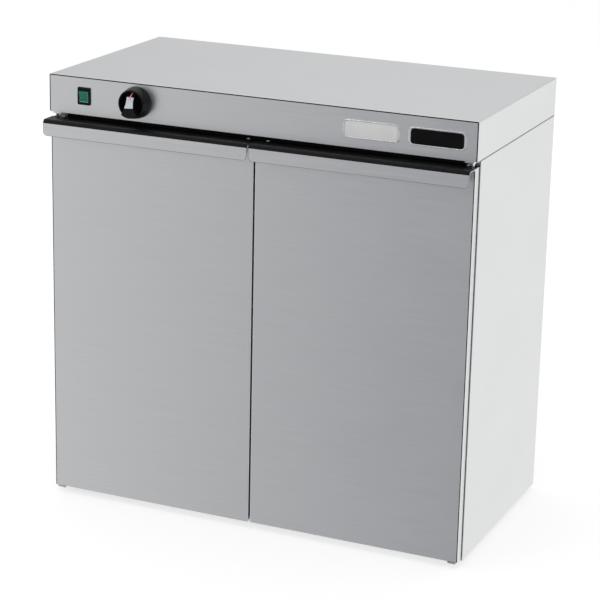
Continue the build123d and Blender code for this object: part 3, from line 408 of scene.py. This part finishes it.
def moulded(name, tone, roughness, tooth=0.00003, glare=0.5, clouds=1.0):
    """Moulded or extruded plastic: a fine even tooth, faint flow clouds and rubbed patches."""
    r = Recipe(name)
    cloud = r.noise(r.place, scale=38.0, detail=4.0)
    grit = r.noise(r.place, scale=2600.0, detail=2.0)
    wear_and_highlight = r.noise(r.stretch(offset=(5.0, 2.0, 7.0)), scale=11.0, detail=6.0, roughness=0.7)
    rubbed = r.spread(wear_and_highlight, 0.0, 0.07, 0.5, 0.75)
    base = r.shade(tone, r.spread(cloud, 0.0, 1.0), 1.0 - 0.15 * clouds, 1.0 + 0.2 * clouds)
    return r.finish(
        base_color=base,
        roughness=r.math("SUBTRACT", r.spread(cloud, roughness - 0.03, roughness + 0.05), rubbed),
        specular_ior_level=glare,
        normal=r.bump(grit, tooth, 0.5),
    )


def knob_moulding(name, tone, inlay_highlight, middle):
    """Black moulding with a satin inlay on the bar's leaning face, painted pale: a painted
    highlight of the light that this face catches.

    The pale patch is where the surface looks as far up from straight ahead as the bar leans, near
    the knob's middle.
    """
    r = Recipe(name)
    lean = (0.0, -math.cos(INLAY_LEAN), math.sin(INLAY_LEAN))
    match = r.add("ShaderNodeVectorMath", {0: r.facing, 1: lean}, operation="DOT_PRODUCT")
    leaning = r.spread(match.outputs["Value"], 0.0, 1.0, *INLAY_HIGHLIGHT_MATCH)
    inlay_highlight_patch = r.math("MULTIPLY", r.math("LESS_THAN", r.away(0, middle), INLAY_HIGHLIGHT_HALF), leaning)
    cloud = r.noise(r.place, scale=38.0, detail=4.0)
    speck = r.noise(r.place, scale=650.0, detail=4.0, roughness=0.7)
    grit = r.noise(r.place, scale=2600.0, detail=2.0)
    black = r.shade(tone, r.spread(cloud, 0.0, 1.0), 0.8, 1.3)
    # Painted highlight: pale satin where the leaning face catches the light.
    silver = r.shade(inlay_highlight, r.spread(speck, 0.0, 1.0), 0.86, 1.10)
    return r.finish(
        base_color=r.mix(inlay_highlight_patch, black, silver),
        metallic=r.math("MULTIPLY", inlay_highlight_patch, 0.35),
        roughness=r.lerp(inlay_highlight_patch, r.spread(cloud, 0.18, 0.26), r.spread(speck, 0.30, 0.42)),
        specular_ior_level=0.14,
        normal=r.bump(grit, 0.00002, 0.5),
    )


def soft_rubber(name, tone):
    """Moulded rubber: matt, with a dusty bloom in broad patches."""
    r = Recipe(name)
    bloom = r.noise(r.place, scale=24.0, detail=6.0, roughness=0.65)
    grit = r.noise(r.place, scale=1800.0, detail=3.0)
    dusty = opaque([c + 0.05 for c in tone])
    base = r.mix(r.spread(bloom, 0.0, 0.4, 0.45, 0.8), opaque(tone), dusty)
    gloss = r.spread(bloom, 0.62, 0.78)
    return r.finish(base_color=base, roughness=gloss, normal=r.bump(grit, 0.00005, 0.6))


def tinted_lens(name, tone, edge, centre):
    """Clear tinted rocker: deep in the middle, with a painted highlight along its edges, where the
    wall turns.

    The painted edge is where the distance from the rocker's middle, across or up, passes its limit.
    """
    r = Recipe(name)
    across = r.spread(r.away(0, centre.x), 0.0, 1.0, *LENS_ACROSS)
    rim = r.math("MAXIMUM", across, r.spread(r.away(2, centre.z), 0.0, 1.0, *LENS_UP))
    ripple = r.noise(r.place, scale=260.0, detail=3.0)
    inner = r.shade(tone, r.spread(ripple, 0.0, 1.0), 0.65, 1.5)
    # Painted highlight: the colour turns to the pale edge tone near the rocker's edges.
    base = r.mix(r.math("MULTIPLY", rim, 0.8), inner, opaque(edge))
    return r.finish(
        base_color=base,
        roughness=r.spread(ripple, 0.10, 0.20),
        specular_ior_level=0.35,
        coat_weight=0.15,
        coat_roughness=0.05,
        normal=r.bump(ripple, 0.00008, 0.4),
    )


def painted_line(name, tone, core, middle):
    """Raised painted line: glossy paint, with a painted highlight pale along the middle of its
    width.
    """
    r = Recipe(name)
    wear_and_highlight = r.noise(r.place, scale=900.0, detail=3.0)
    # Painted highlight: pale along the middle of the line, broken up by noise.
    inner = r.spread(r.away(0, middle), 1.0, 0.0, *HIGHLIGHT_CORE)
    pale = r.math("MULTIPLY", inner, r.spread(wear_and_highlight, 0.7, 1.0))
    base = r.mix(pale, opaque(tone), opaque(core))
    return r.finish(base_color=base, roughness=r.spread(wear_and_highlight, 0.22, 0.35))


def mineral_wool(name):
    """Pressed mineral wool: matted fibres in warm yellow, from noise stretched across the slab."""
    r = Recipe(name)
    fibres = r.noise(r.stretch((220.0, 220.0, 900.0)), detail=6.0, roughness=0.75)
    clumps = r.noise(r.place, scale=45.0, detail=5.0)
    base = r.mix(fibres, opaque((0.36, 0.27, 0.12)), opaque((0.78, 0.68, 0.42)))
    base = r.mix(r.spread(clumps, 0.0, 0.5), base, opaque((0.50, 0.40, 0.22)))
    return r.finish(base_color=base, roughness=0.95, normal=r.bump(fibres, 0.002, 0.9))


def heater_sheath(name):
    """Oxidised heater tube: straw to blue temper bands along its length, under a dull scale."""
    r = Recipe(name)
    bands = r.noise(r.stretch((4.0, 9.0, 1.0)), scale=1.6, detail=2.0)
    scale = r.noise(r.place, scale=320.0, detail=5.0)
    base = r.mix(r.spread(bands, 0.0, 1.0), opaque((0.16, 0.12, 0.09)), opaque((0.13, 0.14, 0.18)))
    base = r.mix(r.spread(scale, 0.0, 0.5), base, opaque((0.07, 0.065, 0.06)))
    gloss, crust = r.spread(scale, 0.38, 0.6), r.bump(scale, 0.00004, 0.5)
    return r.finish(base_color=base, metallic=0.85, roughness=gloss, normal=crust)


def woven_sleeve(name, tone):
    """Varnished glass sleeve over wires: a fine diagonal weave from two crossed wave patterns."""
    r = Recipe(name)
    turns = []
    for side in (1, -1):
        turn = (0.0, 0.0, side * math.radians(45))
        slanted = r.add("ShaderNodeMapping", {"Vector": r.place, "Rotation": turn})
        wave = {"Vector": slanted.outputs[0], "Scale": 220.0, "Distortion": 0.4}
        turns.append(r.add("ShaderNodeTexWave", wave).outputs[1])
    weave = r.math("MAXIMUM", *turns)
    base = r.shade(tone, weave, 0.6, 1.25)
    return r.finish(base_color=base, roughness=0.42, normal=r.bump(weave, 0.00012, 0.8))


def wear(node, material):
    """Gives a part of the model its material, and smooth shading between its crisp folds."""
    part = NODES[node]
    part.data.shade_smooth()
    part.data.materials.clear()
    part.data.materials.append(material)
    part.modifiers.new("Seams", "WELD").merge_threshold = WELDED
    crisp = part.modifiers.new("Folds", "EDGE_SPLIT")
    crisp.split_angle = SHARP
    crisp.use_edge_sharp = False
    level = part.modifiers.new("Faces", "WEIGHTED_NORMAL")
    level.mode = "FACE_AREA"
    level.weight = 100
    return part


def dress(names, material):
    for name in names:
        wear(name, material)


def both(*names):
    return [f"{side}_{name}" for name in names for side in ("left", "right")]


# ---- Surfaces ----


def shell(rows, tip=None, tail=None):
    """Skins a grid of points whose rows are closed rings, and closes its ends at single points.

    Ring i, point j joins ring i + 1, point j + 1. The first ring closes to tail, the last to tip.
    """
    count, ring = rows.shape[:2]
    points = rows.reshape(-1, 3)
    index = np.arange(count * ring).reshape(count, ring)
    beside = np.roll(index, -1, axis=1)
    quads = np.stack([index[:-1], beside[:-1], beside[1:], index[1:]], axis=-1).reshape(-1, 4)
    faces = quads.tolist()
    if tail is not None:
        centre = np.full(ring, len(points))
        points = np.vstack([points, tail])
        faces += np.stack([beside[0], index[0], centre], axis=-1).tolist()
    if tip is not None:
        centre = np.full(ring, len(points))
        points = np.vstack([points, tip])
        faces += np.stack([index[-1], beside[-1], centre], axis=-1).tolist()
    return points, faces


def outward(points, faces):
    """Turns the faces round if the volume that they enclose comes out negative."""
    corners = np.array([[f[0], f[i], f[i + 1]] for f in faces for i in range(1, len(f) - 1)])
    a, b, c = points[corners[:, 0]], points[corners[:, 1]], points[corners[:, 2]]
    if np.einsum("ij,ij->i", a - points[0], np.cross(b - points[0], c - points[0])).sum() < 0:
        faces = [face[::-1] for face in faces]
    return faces


def add_piece(name, skins, materials, body, bands=None):
    """Makes one mesh object of several skins, in the model's own place, riding on a body."""
    points, faces, start = [], [], 0
    for skin_points, skin_faces in skins:
        faces += [[start + i for i in face] for face in outward(skin_points, skin_faces)]
        points.append(skin_points)
        start += len(skin_points)
    mesh = bpy.data.meshes.new(name)
    mesh.from_pydata(np.vstack(points).tolist(), [], faces)
    mesh.shade_smooth()
    for material in materials:
        mesh.materials.append(material)
    if bands is not None:
        mesh.polygons.foreach_set("material_index", np.asarray(bands, dtype=np.int32))
    mesh.set_sharp_from_angle(angle=SHARP)
    piece = bpy.data.objects.new(name, mesh)
    bpy.context.scene.collection.objects.link(piece)
    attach(piece, body)
    return piece


def rounded_ring(half_width, half_height, radius, inset, steps=8):
    """Outline of a rounded rectangle moved in by the inset: an arc about each corner's centre."""
    corner = max(radius - inset, 0.0004)
    turn = np.linspace(0.0, math.pi / 2, steps)
    quarter = np.arange(4)[:, None] * math.pi / 2
    angle = quarter + turn[None, :]
    side_x = np.array([1, -1, -1, 1])[:, None]
    side_z = np.array([1, 1, -1, -1])[:, None]
    x = side_x * (half_width - inset - corner) + corner * np.cos(angle)
    z = side_z * (half_height - inset - corner) + corner * np.sin(angle)
    return np.stack([x.ravel(), z.ravel()], axis=-1)


def badge_skin(centre, half_width, half_height, shape):
    """Pressed plate: a wall, a rounded raised rim, and a sunk field with a very slight crown.

    Rings of the outline at growing inset carry the profile. The field shrinks to its middle, and
    its height rises by crown times one minus the square of the ring's share of the full size.
    """
    t, rim = shape.thickness, shape.rim
    turn = np.linspace(0.0, math.pi / 2, 5)
    bevel = rim * 0.3
    sunk = bevel * 0.8
    crown = 0.00015
    insets = [0.0, *(bevel * (1 - np.cos(turn))), *(rim - bevel * (1 - np.sin(turn)))]
    heights = [0.0, *(t - bevel + bevel * np.sin(turn)), *(t - sunk * (1 - np.cos(turn)))]
    rings = [rounded_ring(half_width, half_height, shape.corner, inset) for inset in insets]
    share = np.array([0.97, 0.8, 0.5, 0.2])
    field = rings[-1][None] * share[:, None, None]
    outline = np.concatenate([np.stack(rings), field])
    depth = np.concatenate([heights, t - sunk + crown * (1 - share**2)])
    rows = np.empty((*outline.shape[:2], 3))
    rows[..., 0] = centre[0] + outline[..., 0]
    rows[..., 1] = centre[1] - depth[:, None]
    rows[..., 2] = centre[2] + outline[..., 1]
    skin = shell(rows, tip=(centre[0], centre[1] - depth[-1], centre[2]), tail=centre)
    ring = rows.shape[1]
    rim_faces = ring * len(insets)
    field_faces = ring * (len(rows) - 1) - rim_faces
    # the order of the skin's faces: rim, field, back, and the field's middle
    bands = [0] * rim_faces + [1] * field_faces + [0] * ring + [1] * ring
    return skin, bands


def screw_skin(seat, axis, head, height, shank, reach, shape):
    """Cross-slot screw: a turned profile along its axis, its dome pressed in by crossed slots.

    The dome rises by its full height times the root of one minus the squared share of the radius.
    A slot's depth is a product of soft steps: inside its half width across the arm, and inside
    its reach along the arm.
    """
    turn = np.linspace(0.0, 2 * math.pi, shape.sides, endpoint=False)
    wall = height * (1 - shape.dome)
    share = np.linspace(1.0, 0.06, 15)
    radius = np.concatenate([[shank * 0.7, shank, shank, head, head], head * share])
    dome = wall + (height - wall) * np.sqrt(1 - share**2)
    rise = np.concatenate([[-reach, -reach + shank * 0.3, 0.0, 0.0, wall * 0.5], dome])
    x = radius[:, None] * np.cos(turn)
    y = radius[:, None] * np.sin(turn)
    soft = head * 0.05
    width, extent = shape.slot * head / 2, shape.reach * head

    def inside(value, limit):
        return 1.0 / (1.0 + np.exp((np.abs(value) - limit) / soft))

    arms = np.maximum(inside(x, width) * inside(y, extent), inside(y, width) * inside(x, extent))
    domed = (np.arange(len(radius)) >= len(radius) - len(share))[:, None]
    sunk = height * 0.62
    z = rise[:, None] - np.where(domed, arms, 0.0) * sunk
    across = np.array([1.0, 0.0, 0.0])
    up = np.cross(axis, across)
    rows = seat + x[..., None] * across + y[..., None] * up + z[..., None] * axis
    return shell(rows, tip=seat + (height - sunk) * axis, tail=seat - reach * axis)


def bead_skin(path, radius, facing=(0.0, 1.0, 0.0), steps=10):
    """A round bead along a path in a plane that looks along facing, closed at both ends.

    Each ring is a circle spanned by facing and its cross product with the path's direction.
    """
    path, facing = np.asarray(path, float), np.asarray(facing)
    ahead = np.gradient(path, axis=0)
    ahead /= np.linalg.norm(ahead, axis=1, keepdims=True)
    aside = np.cross(ahead, facing)
    turn = np.linspace(0.0, 2 * math.pi, steps, endpoint=False)[:, None]
    rows = path[:, None] + radius * (np.cos(turn) * aside[:, None] + np.sin(turn) * facing)
    return shell(rows, tip=path[-1] + ahead[-1] * radius / 2, tail=path[0] - ahead[0] * radius / 2)


def arch(left, right, low, high, depth, corner, upright=True):
    """Three sides of a rectangle with rounded corners: open below, or above if not upright."""
    turn = np.linspace(0.0, math.pi / 2, 7)
    x = corner * (1 - np.cos(turn))
    z = corner * (1 - np.sin(turn))
    first = np.stack([left + x, high - z], axis=-1)
    second = np.stack([right - x[::-1], high - z[::-1]], axis=-1)
    rows = np.vstack([[(left, low)], first, second, [(right, low)]])
    if not upright:
        rows[:, 1] = low + high - rows[:, 1]
    return np.insert(rows, 1, depth, axis=1)


def loose_solids(node):
    """Boxes of a part's separate solids, found by joining the triangles that share corners."""
    mesh = NODES[node].data
    points = np.empty(len(mesh.vertices) * 3)
    mesh.vertices.foreach_get("co", points)
    points = points.reshape(-1, 3)
    keys, label = np.unique(np.round(points, 5), axis=0, return_inverse=True)
    label = label.ravel()
    corners = np.empty(len(mesh.loops), dtype=np.int64)
    mesh.loops.foreach_get("vertex_index", corners)
    triangles = label[corners].reshape(-1, 3)
    group = np.arange(len(keys))
    while True:
        lowest = group[triangles].min(axis=1)
        after = group.copy()
        for side in range(3):
            np.minimum.at(after, triangles[:, side], lowest)
        after = after[after]
        if (after == group).all():
            break
        group = after
    return [(keys[group == g].min(axis=0), keys[group == g].max(axis=0)) for g in np.unique(group)]


# ---- Operators ----


class Build:
    """Shared parts of the operators."""

    bl_options = {"REGISTER", "UNDO"}

    @classmethod
    def poll(cls, context):
        return context.scene is not None


class WARMER_OT_case(Build, bpy.types.Operator):
    """Finish the top box, side panels, front rail, back, base and tray"""

    bl_idname = "warmer.case"
    bl_label = "Case"

    def execute(self, context):
        s = context.scene.warmer_sheet
        outer = brushed_sheet("Satin brushed stainless", s.steel, s.grain, s.roughness)
        dress(["top_cover", "front_rail", *both("side_panel")], outer)
        dress(["back_panel", "base_pan", "control_tray"], zinc_sheet("Galvanised sheet", s.zinc))
        return {"FINISHED"}


class WARMER_OT_doors(Build, bpy.types.Operator):
    """Finish the doors with their grips, seals, liners, bushes and strike plates"""

    bl_idname = "warmer.doors"
    bl_label = "Doors"

    def execute(self, context):
        s, m = context.scene.warmer_sheet, context.scene.warmer_moulded
        outer = bpy.data.materials["Satin brushed stainless"]
        dress(both("door_skin", "grip_strip"), outer)
        liner = brushed_sheet("Door liner sheet", s.liner, s.grain * 0.6, s.roughness + 0.06)
        dress(both("door_liner"), liner)
        dress(both("grip_cap"), moulded("Grip cap extrusion", m.cap, 0.38, 0.00002, glare=0.1))
        dress(both("door_gasket"), soft_rubber("Door seal rubber", m.rubber))
        dress(both("hinge_bushes"), moulded("Turned nylon", m.nylon, 0.45))
        dress(both("strike_plate"), plain_metal("Plated strike steel", s.bright, 0.28))
        dress(both("door_insulation"), mineral_wool("Pressed mineral wool"))
        return {"FINISHED"}


class WARMER_OT_chamber(Build, bpy.types.Operator):
    """Finish the chamber: liners, partition, runners, shelves, heaters and wool"""

    bl_idname = "warmer.chamber"
    bl_label = "Chamber"

    def execute(self, context):
        s = context.scene.warmer_sheet
        liner = brushed_sheet("Chamber liner sheet", s.liner, s.grain * 0.6, s.roughness + 0.04)
        dress(["chamber_floor", "roof_liner", "side_liners", "back_liner"], liner)
        dress(["centre_partition", "shelf_runners", *both("heater_cover")], liner)
        wire = plain_metal("Chromed shelf wire", s.bright, 0.16)
        dress(both("lower_shelf", "middle_shelf", "upper_shelf"), wire)
        dress(both("heater"), heater_sheath("Heater tube"))
        dress(["heater_brackets"], zinc_sheet("Bracket sheet", s.zinc))
        dress(["capillary_bulb"], plain_metal("Drawn copper", s.copper, 0.30))
        dress(["wall_insulation"], bpy.data.materials["Pressed mineral wool"])
        return {"FINISHED"}


class WARMER_OT_controls(Build, bpy.types.Operator):
    """Finish the knob, switch, thermostat, wiring and cable gland"""

    bl_idname = "warmer.controls"
    bl_label = "Controls"

    def execute(self, context):
        s, m = context.scene.warmer_sheet, context.scene.warmer_moulded
        dress(["control_knob"], knob_moulding("Knob moulding", m.knob, m.inlay_highlight, KNOB_AXIS.x))
        dress(["knob_pointer"], painted_line("Pointer paint", m.pointer, m.pointer_highlight, KNOB.x))
        dress(["knob_shaft"], plain_metal("Turned steel", s.bright, 0.24))
        dress(["switch_frame"], moulded("Switch frame moulding", m.bezel, 0.42, glare=0.12))
        dress(["switch_rocker"], tinted_lens("Tinted rocker", m.lens, m.lens_edge_highlight, SWITCH))
        dress(["cable_gland"], moulded("Gland nylon", m.cap, 0.45))
        dress(["thermostat"], zinc_sheet("Thermostat case", s.zinc))
        dress(["terminal_block"], moulded("Terminal block moulding", m.nylon, 0.35))
        dress(["wiring_loom"], woven_sleeve("Varnished sleeve", m.sleeve))
        return {"FINISHED"}


class WARMER_OT_hardware(Build, bpy.types.Operator):
    """Finish the hinges, catches and feet"""

    bl_idname = "warmer.hardware"
    bl_label = "Hardware"

    def execute(self, context):
        s, m = context.scene.warmer_sheet, context.scene.warmer_moulded
        dress(both("upper_hinge", "lower_hinge"), plain_metal("Bright hinge steel", s.bright, 0.22))
        dress(["door_catches"], moulded("Catch moulding", m.catch, 0.45))
        dress(["rubber_feet"], soft_rubber("Foot rubber", m.rubber))
        return {"FINISHED"}


class WARMER_OT_badges(Build, bpy.types.Operator):
    """Add the two bare badge plates on the control strip"""

    bl_idname = "warmer.badges"
    bl_label = "Badge plates"

    def execute(self, context):
        shape = context.scene.warmer_badges
        rim = plain_metal("Badge rim metal", shape.rim_metal, 0.20)
        pale = moulded("Badge silver field", shape.pale, 0.40, 0.00001, clouds=0.15)
        dark = moulded("Badge black field", shape.dark, 0.24, 0.00001, glare=0.08)
        plates = (
            ("pale_badge", shape.pale_from, shape.pale_to, pale),
            ("dark_badge", shape.dark_from, shape.dark_to, dark),
        )
        for name, left, right, field in plates:
            centre = ((left + right) / 2, FRONT - STAND_OFF, shape.middle)
            skin, bands = badge_skin(centre, (right - left) / 2, shape.height / 2, shape)
            add_piece(name, [skin], [rim, field], "cabinet", bands)
        return {"FINISHED"}


class WARMER_OT_trim(Build, bpy.types.Operator):
    """Add painted shade: dark beads in the seams and down the door edges, a dark strip over the
    doors, and darker cut edges of the grips
    """

    bl_idname = "warmer.trim"
    bl_label = "Trim"

    def execute(self, context):
        shape, m = context.scene.warmer_trim, context.scene.warmer_moulded
        # Painted shade: dark beads in the seams and down the door edges, and the dark strip over
        # the doors.
        dark = moulded("Seam sealant", m.seam, 0.5, glare=0.08)
        # Painted shade: the cut edges of the lips are darker than the sheet, as the dark line under
        # each lip.
        steel = plain_metal("Cut edge of the lips", shape.hem_shaded_metal, 0.42)
        add_piece("box_seam_shade", self.box_seam_shade(shape), [dark], "cabinet")
        add_piece("head_shade_strip", [self.head_shade_strip(shape)], [dark], "cabinet")
        for side in ("left", "right"):
            body = f"{side}_door"
            hem, edge = self.hem(side, shape), self.door_edge_shade(side, shape)
            add_piece(f"{side}_grip_hem", [hem], [steel], body)
            # Painted shade: a dark bead down the door's outer edge.
            add_piece(f"{side}_door_edge_shade", [edge], [dark], body)
        return {"FINISHED"}

    def box_seam_shade(self, shape):
        """Dark beads that paint the shade round the control strip, and along the gap under each
        side of the control box.
        """
        low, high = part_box("top_cover")
        margin = shape.seam_edge + shape.seam
        sides = (low.x + margin, high.x - margin)
        ends = (low.z + shape.seam, high.z - margin)
        rim = arch(*sides, *ends, FRONT + shape.seam_sunk, shape.seam)
        beads = [bead_skin(rim, shape.seam)]
        # Painted shade: dark beads fill the gaps under the sides of the control box.
        panel_low, panel_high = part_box("right_side_panel")
        gap = (low.z - panel_high.z) / 2
        z = low.z - gap
        for x in (low.x + gap + shape.seam_edge, high.x - gap - shape.seam_edge):
            path = np.linspace((x, panel_low.y + margin, z), (x, panel_high.y - margin, z), 8)
            beads.append(bead_skin(path, gap * 0.9, facing=(1.0, 0.0, 0.0)))
        return beads

    def head_shade_strip(self, shape):
        """Dark strip in front of the rail, painted shade over the doors: a rounded outline at three
        depths, the foremost bevelled.
        """
        low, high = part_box("front_rail")
        flat = shape.shade_strip_thickness / 2
        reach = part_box("right_upper_hinge")[0].x - shape.shade_strip_gap
        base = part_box("door_catches")[1].z + shape.shade_strip_gap
        middle, half = (high.z + base) / 2, (high.z - base) / 2
        rings = [rounded_ring(reach, half, flat, inset) for inset in (0.0, 0.0, flat / 2)]
        rows = [
            np.insert(ring + (0.0, middle), 1, low.y - step * flat, axis=1)
            for step, ring in enumerate(rings)
        ]
        return shell(np.stack(rows), tip=(0.0, low.y - 2 * flat, middle), tail=(0.0, low.y, middle))

    def hem(self, side, shape):
        """Bead along the cut edge of a grip's lip: down one end, along the bottom and up again."""
        low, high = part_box(f"{side}_grip_strip")
        inset = shape.hem * 0.7
        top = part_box(f"{side}_grip_cap")[0].z - shape.hem
        corner = shape.hem_corner - inset
        sides, ends = (low.x + inset, high.x - inset), (low.z + inset, top)
        path = arch(*sides, *ends, low.y + inset, corner, upright=False)
        return bead_skin(path, shape.hem)

    def door_edge_shade(self, side, shape):
        """Straight dark bead down the front of a door's outer edge, painted shade of the gap there,
        from the grip's cap to the foot.
        """
        low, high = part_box(f"{side}_door_skin")
        margin = shape.seam_edge + shape.edge
        x = low.x + margin if side == "left" else high.x - margin
        y = FRONT + shape.edge / 2
        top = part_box(f"{side}_grip_cap")[0].z - shape.hem
        return bead_skin(np.linspace((x, y, low.z + margin), (x, y, top), 8), shape.edge)


class WARMER_OT_screws(Build, bpy.types.Operator):
    """Replace the plain screws by cross-slot ones of the same size"""

    bl_idname = "warmer.screws"
    bl_label = "Screws"

    def execute(self, context):
        shape = context.scene.warmer_screws
        # Painted glint: near-white, mostly matt zinc, so the heads show as bright dots in the dark
        # recess.
        bright = plain_metal("Screw zinc", shape.zinc, 0.3, 240.0, metallic=0.2)
        jobs = (
            ("grip_screws_left", "left_grip_screws", "left_door"),
            ("grip_screws_right", "right_grip_screws", "right_door"),
            ("case_screw_set", "case_screws", "cabinet"),
        )
        for name, node, body in jobs:
            skins = []
            for low, high in loose_solids(node):
                size = high - low
                axis = self.head_axis(node, size)
                span = size @ np.abs(axis)
                head = size[0] / 2
                height, shank = head * HEAD_RISE, head * SHANK
                seat = (low + high) / 2 + (span / 2 - height) * axis
                skins.append(screw_skin(seat, axis, head, height, shank, span - height, shape))
            piece = add_piece(name, skins, [bright], body)
            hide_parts(node)
        return {"FINISHED"}

    def head_axis(self, node, size):
        """Direction of a head: up on the grips, to the rear on the back, and down below."""
        if node != "case_screws":
            return np.array([0.0, 0.0, 1.0])
        return np.array([0.0, 1.0, 0.0]) if size[1] > size[2] else np.array([0.0, 0.0, -1.0])


class WARMER_OT_studio(Build, bpy.types.Operator):
    """Set up the floor, the soft light, the surroundings and the camera"""

    bl_idname = "warmer.studio"
    bl_label = "Studio"

    def execute(self, context):
        scene, studio = context.scene, context.scene.warmer_studio
        scene.view_settings.view_transform = "Standard"
        self.camera(scene, studio)
        self.floor(scene, studio)
        self.world(scene, studio)
        key = (studio.key_place, (0.0, 0.0, 0.0), (studio.key_size, studio.key_size))
        glint = (studio.glint_place, studio.glint_turn, (studio.glint_width, studio.glint_height))
        self.lamp(scene, "Overhead soft box", *key, studio.key)
        self.lamp(scene, "Front soft box", *glint, studio.glint)
        return {"FINISHED"}

    def camera(self, scene, studio):
        data = bpy.data.cameras.new("Camera")
        data.lens = studio.lens
        data.sensor_width = 36.0
        data.clip_end = 100.0
        camera = bpy.data.objects.new("Camera", data)
        camera.location = studio.camera
        camera.rotation_euler = studio.turn
        scene.collection.objects.link(camera)
        scene.camera = camera

    def shaded(self, graph, direction):
        """Share of shade by the turn from straight ahead to the right.

        It rises from the front left to just short of straight ahead, and falls to the right side.
        """
        x, y, _ = graph.parts(direction)
        turn = graph.math("ARCTAN2", x, graph.math("MULTIPLY", y, -1.0))
        rise = graph.spread(turn, 0.0, 1.0, *SHADE_RISE, soft=False)
        return graph.math("MULTIPLY", rise, graph.spread(turn, 1.0, 0.0, *SHADE_FALL))

    def floor(self, scene, studio):
        """A square floor, white to the camera but for a soft shadow, and clear in metal."""
        half = studio.floor
        mesh = bpy.data.meshes.new("floor")
        corners = [(-half, -half, 0.0), (half, -half, 0.0), (half, half, 0.0), (-half, half, 0.0)]
        mesh.from_pydata(corners, [], [(0, 1, 2, 3)])
        floor = bpy.data.objects.new("floor", mesh)
        scene.collection.objects.link(floor)
        r = Recipe("Pale studio floor")
        rays = r.add("ShaderNodeLightPath")
        pale = r.add("ShaderNodeBsdfDiffuse", {"Color": FLOOR_LIT}).outputs[0]
        grey = r.add("ShaderNodeBsdfDiffuse", {"Color": FLOOR_SEEN}).outputs[0]
        glow = r.add("ShaderNodeEmission", {"Color": WHITE, "Strength": FLOOR_GLOW}).outputs[0]
        seen = r.add("ShaderNodeAddShader", {0: grey, 1: glow}).outputs[0]
        clear = r.add("ShaderNodeBsdfTransparent").outputs[0]
        shown = r.mix_shaders(rays.outputs["Is Camera Ray"], pale, seen)
        shown = r.mix_shaders(rays.outputs["Is Glossy Ray"], shown, clear)
        r.tree.links.new(shown, r.output.inputs[0])
        mesh.materials.append(r.material)

    def world(self, scene, studio):
        """White to the camera, a room with a dark front to metal, and an even fill to the rest."""
        world = bpy.data.worlds.new("Surroundings")
        world.use_nodes = True
        g = Graph(world.node_tree)
        output = g.add("ShaderNodeOutputWorld")
        direction = g.add("ShaderNodeTexCoord").outputs["Generated"]
        rays = g.add("ShaderNodeLightPath")
        _, depth, height = g.parts(direction)
        around = g.mix(self.shaded(g, direction), opaque(studio.lit), opaque(studio.shade))
        back = g.spread(depth, 0.0, 1.0, *BACK)
        behind, beyond = opaque(studio.behind), opaque(studio.beyond)
        far = g.mix(g.spread(depth, 0.0, 1.0, *FAR_WALL), behind, beyond)
        below = g.mix(back, around, opaque(studio.ground))
        below = g.mix(g.spread(height, 1.0, 0.0, *FOOT), below, opaque(studio.under))
        above = g.mix(g.spread(height, 1.0, 0.0, *DARK_BAND), around, opaque(studio.dark))
        above = g.mix(back, above, far)
        above = g.mix(g.spread(height, 0.0, 1.0, *CEILING), above, opaque(studio.ceiling))
        tone = g.mix(g.spread(height, 0.0, 1.0, *HORIZON), below, above)
        fill = g.background(WHITE, studio.fill)
        mirrored = g.background(tone, studio.mirrored)
        shown = g.mix_shaders(rays.outputs["Is Glossy Ray"], fill, mirrored)
        shown = g.mix_shaders(rays.outputs["Is Camera Ray"], shown, g.background(WHITE, 1.0))
        g.tree.links.new(shown, output.inputs[0])
        scene.world = world

    def lamp(self, scene, name, place, turn, size, power):
        data = bpy.data.lights.new(name, "AREA")
        data.shape = "RECTANGLE"
        data.size, data.size_y = size
        data.energy = power
        lamp = bpy.data.objects.new(name, data)
        lamp.location = place
        lamp.rotation_euler = turn
        scene.collection.objects.link(lamp)


class WARMER_PT_panel(bpy.types.Panel):
    """Lists the cabinet's settings and the operators that build its looks"""

    bl_idname = "WARMER_PT_panel"
    bl_label = "Plate Warmer"
    bl_space_type = "VIEW_3D"
    bl_region_type = "UI"
    bl_category = "Plate Warmer"

    def draw(self, context):
        for operator in OPERATORS:
            self.layout.operator(operator.bl_idname)
        for name, kind in GROUPS.items():
            box = self.layout.box()
            group = getattr(context.scene, name)
            for field in kind.__annotations__:
                box.prop(group, field)


GROUPS = {
    "warmer_sheet": SheetFinish,
    "warmer_moulded": MouldedFinish,
    "warmer_badges": BadgeShape,
    "warmer_trim": TrimShape,
    "warmer_screws": ScrewShape,
    "warmer_studio": StudioSetup,
}
OPERATORS = (
    WARMER_OT_case,
    WARMER_OT_doors,
    WARMER_OT_chamber,
    WARMER_OT_controls,
    WARMER_OT_hardware,
    WARMER_OT_badges,
    WARMER_OT_trim,
    WARMER_OT_screws,
    WARMER_OT_studio,
)


def register():
    for kind in (*GROUPS.values(), *OPERATORS, WARMER_PT_panel):
        bpy.utils.register_class(kind)
    for name, kind in GROUPS.items():
        setattr(bpy.types.Scene, name, PointerProperty(type=kind))


def unregister():
    for name in GROUPS:
        delattr(bpy.types.Scene, name)
    for kind in (WARMER_PT_panel, *reversed(OPERATORS), *reversed(GROUPS.values())):
        bpy.utils.unregister_class(kind)


def main():
    register()
    bpy.ops.warmer.case()
    bpy.ops.warmer.doors()
    bpy.ops.warmer.chamber()
    bpy.ops.warmer.controls()
    bpy.ops.warmer.hardware()
    bpy.ops.warmer.badges()
    bpy.ops.warmer.trim()
    bpy.ops.warmer.screws()
    bpy.ops.warmer.studio()


if __name__ == "__main__":
    main()
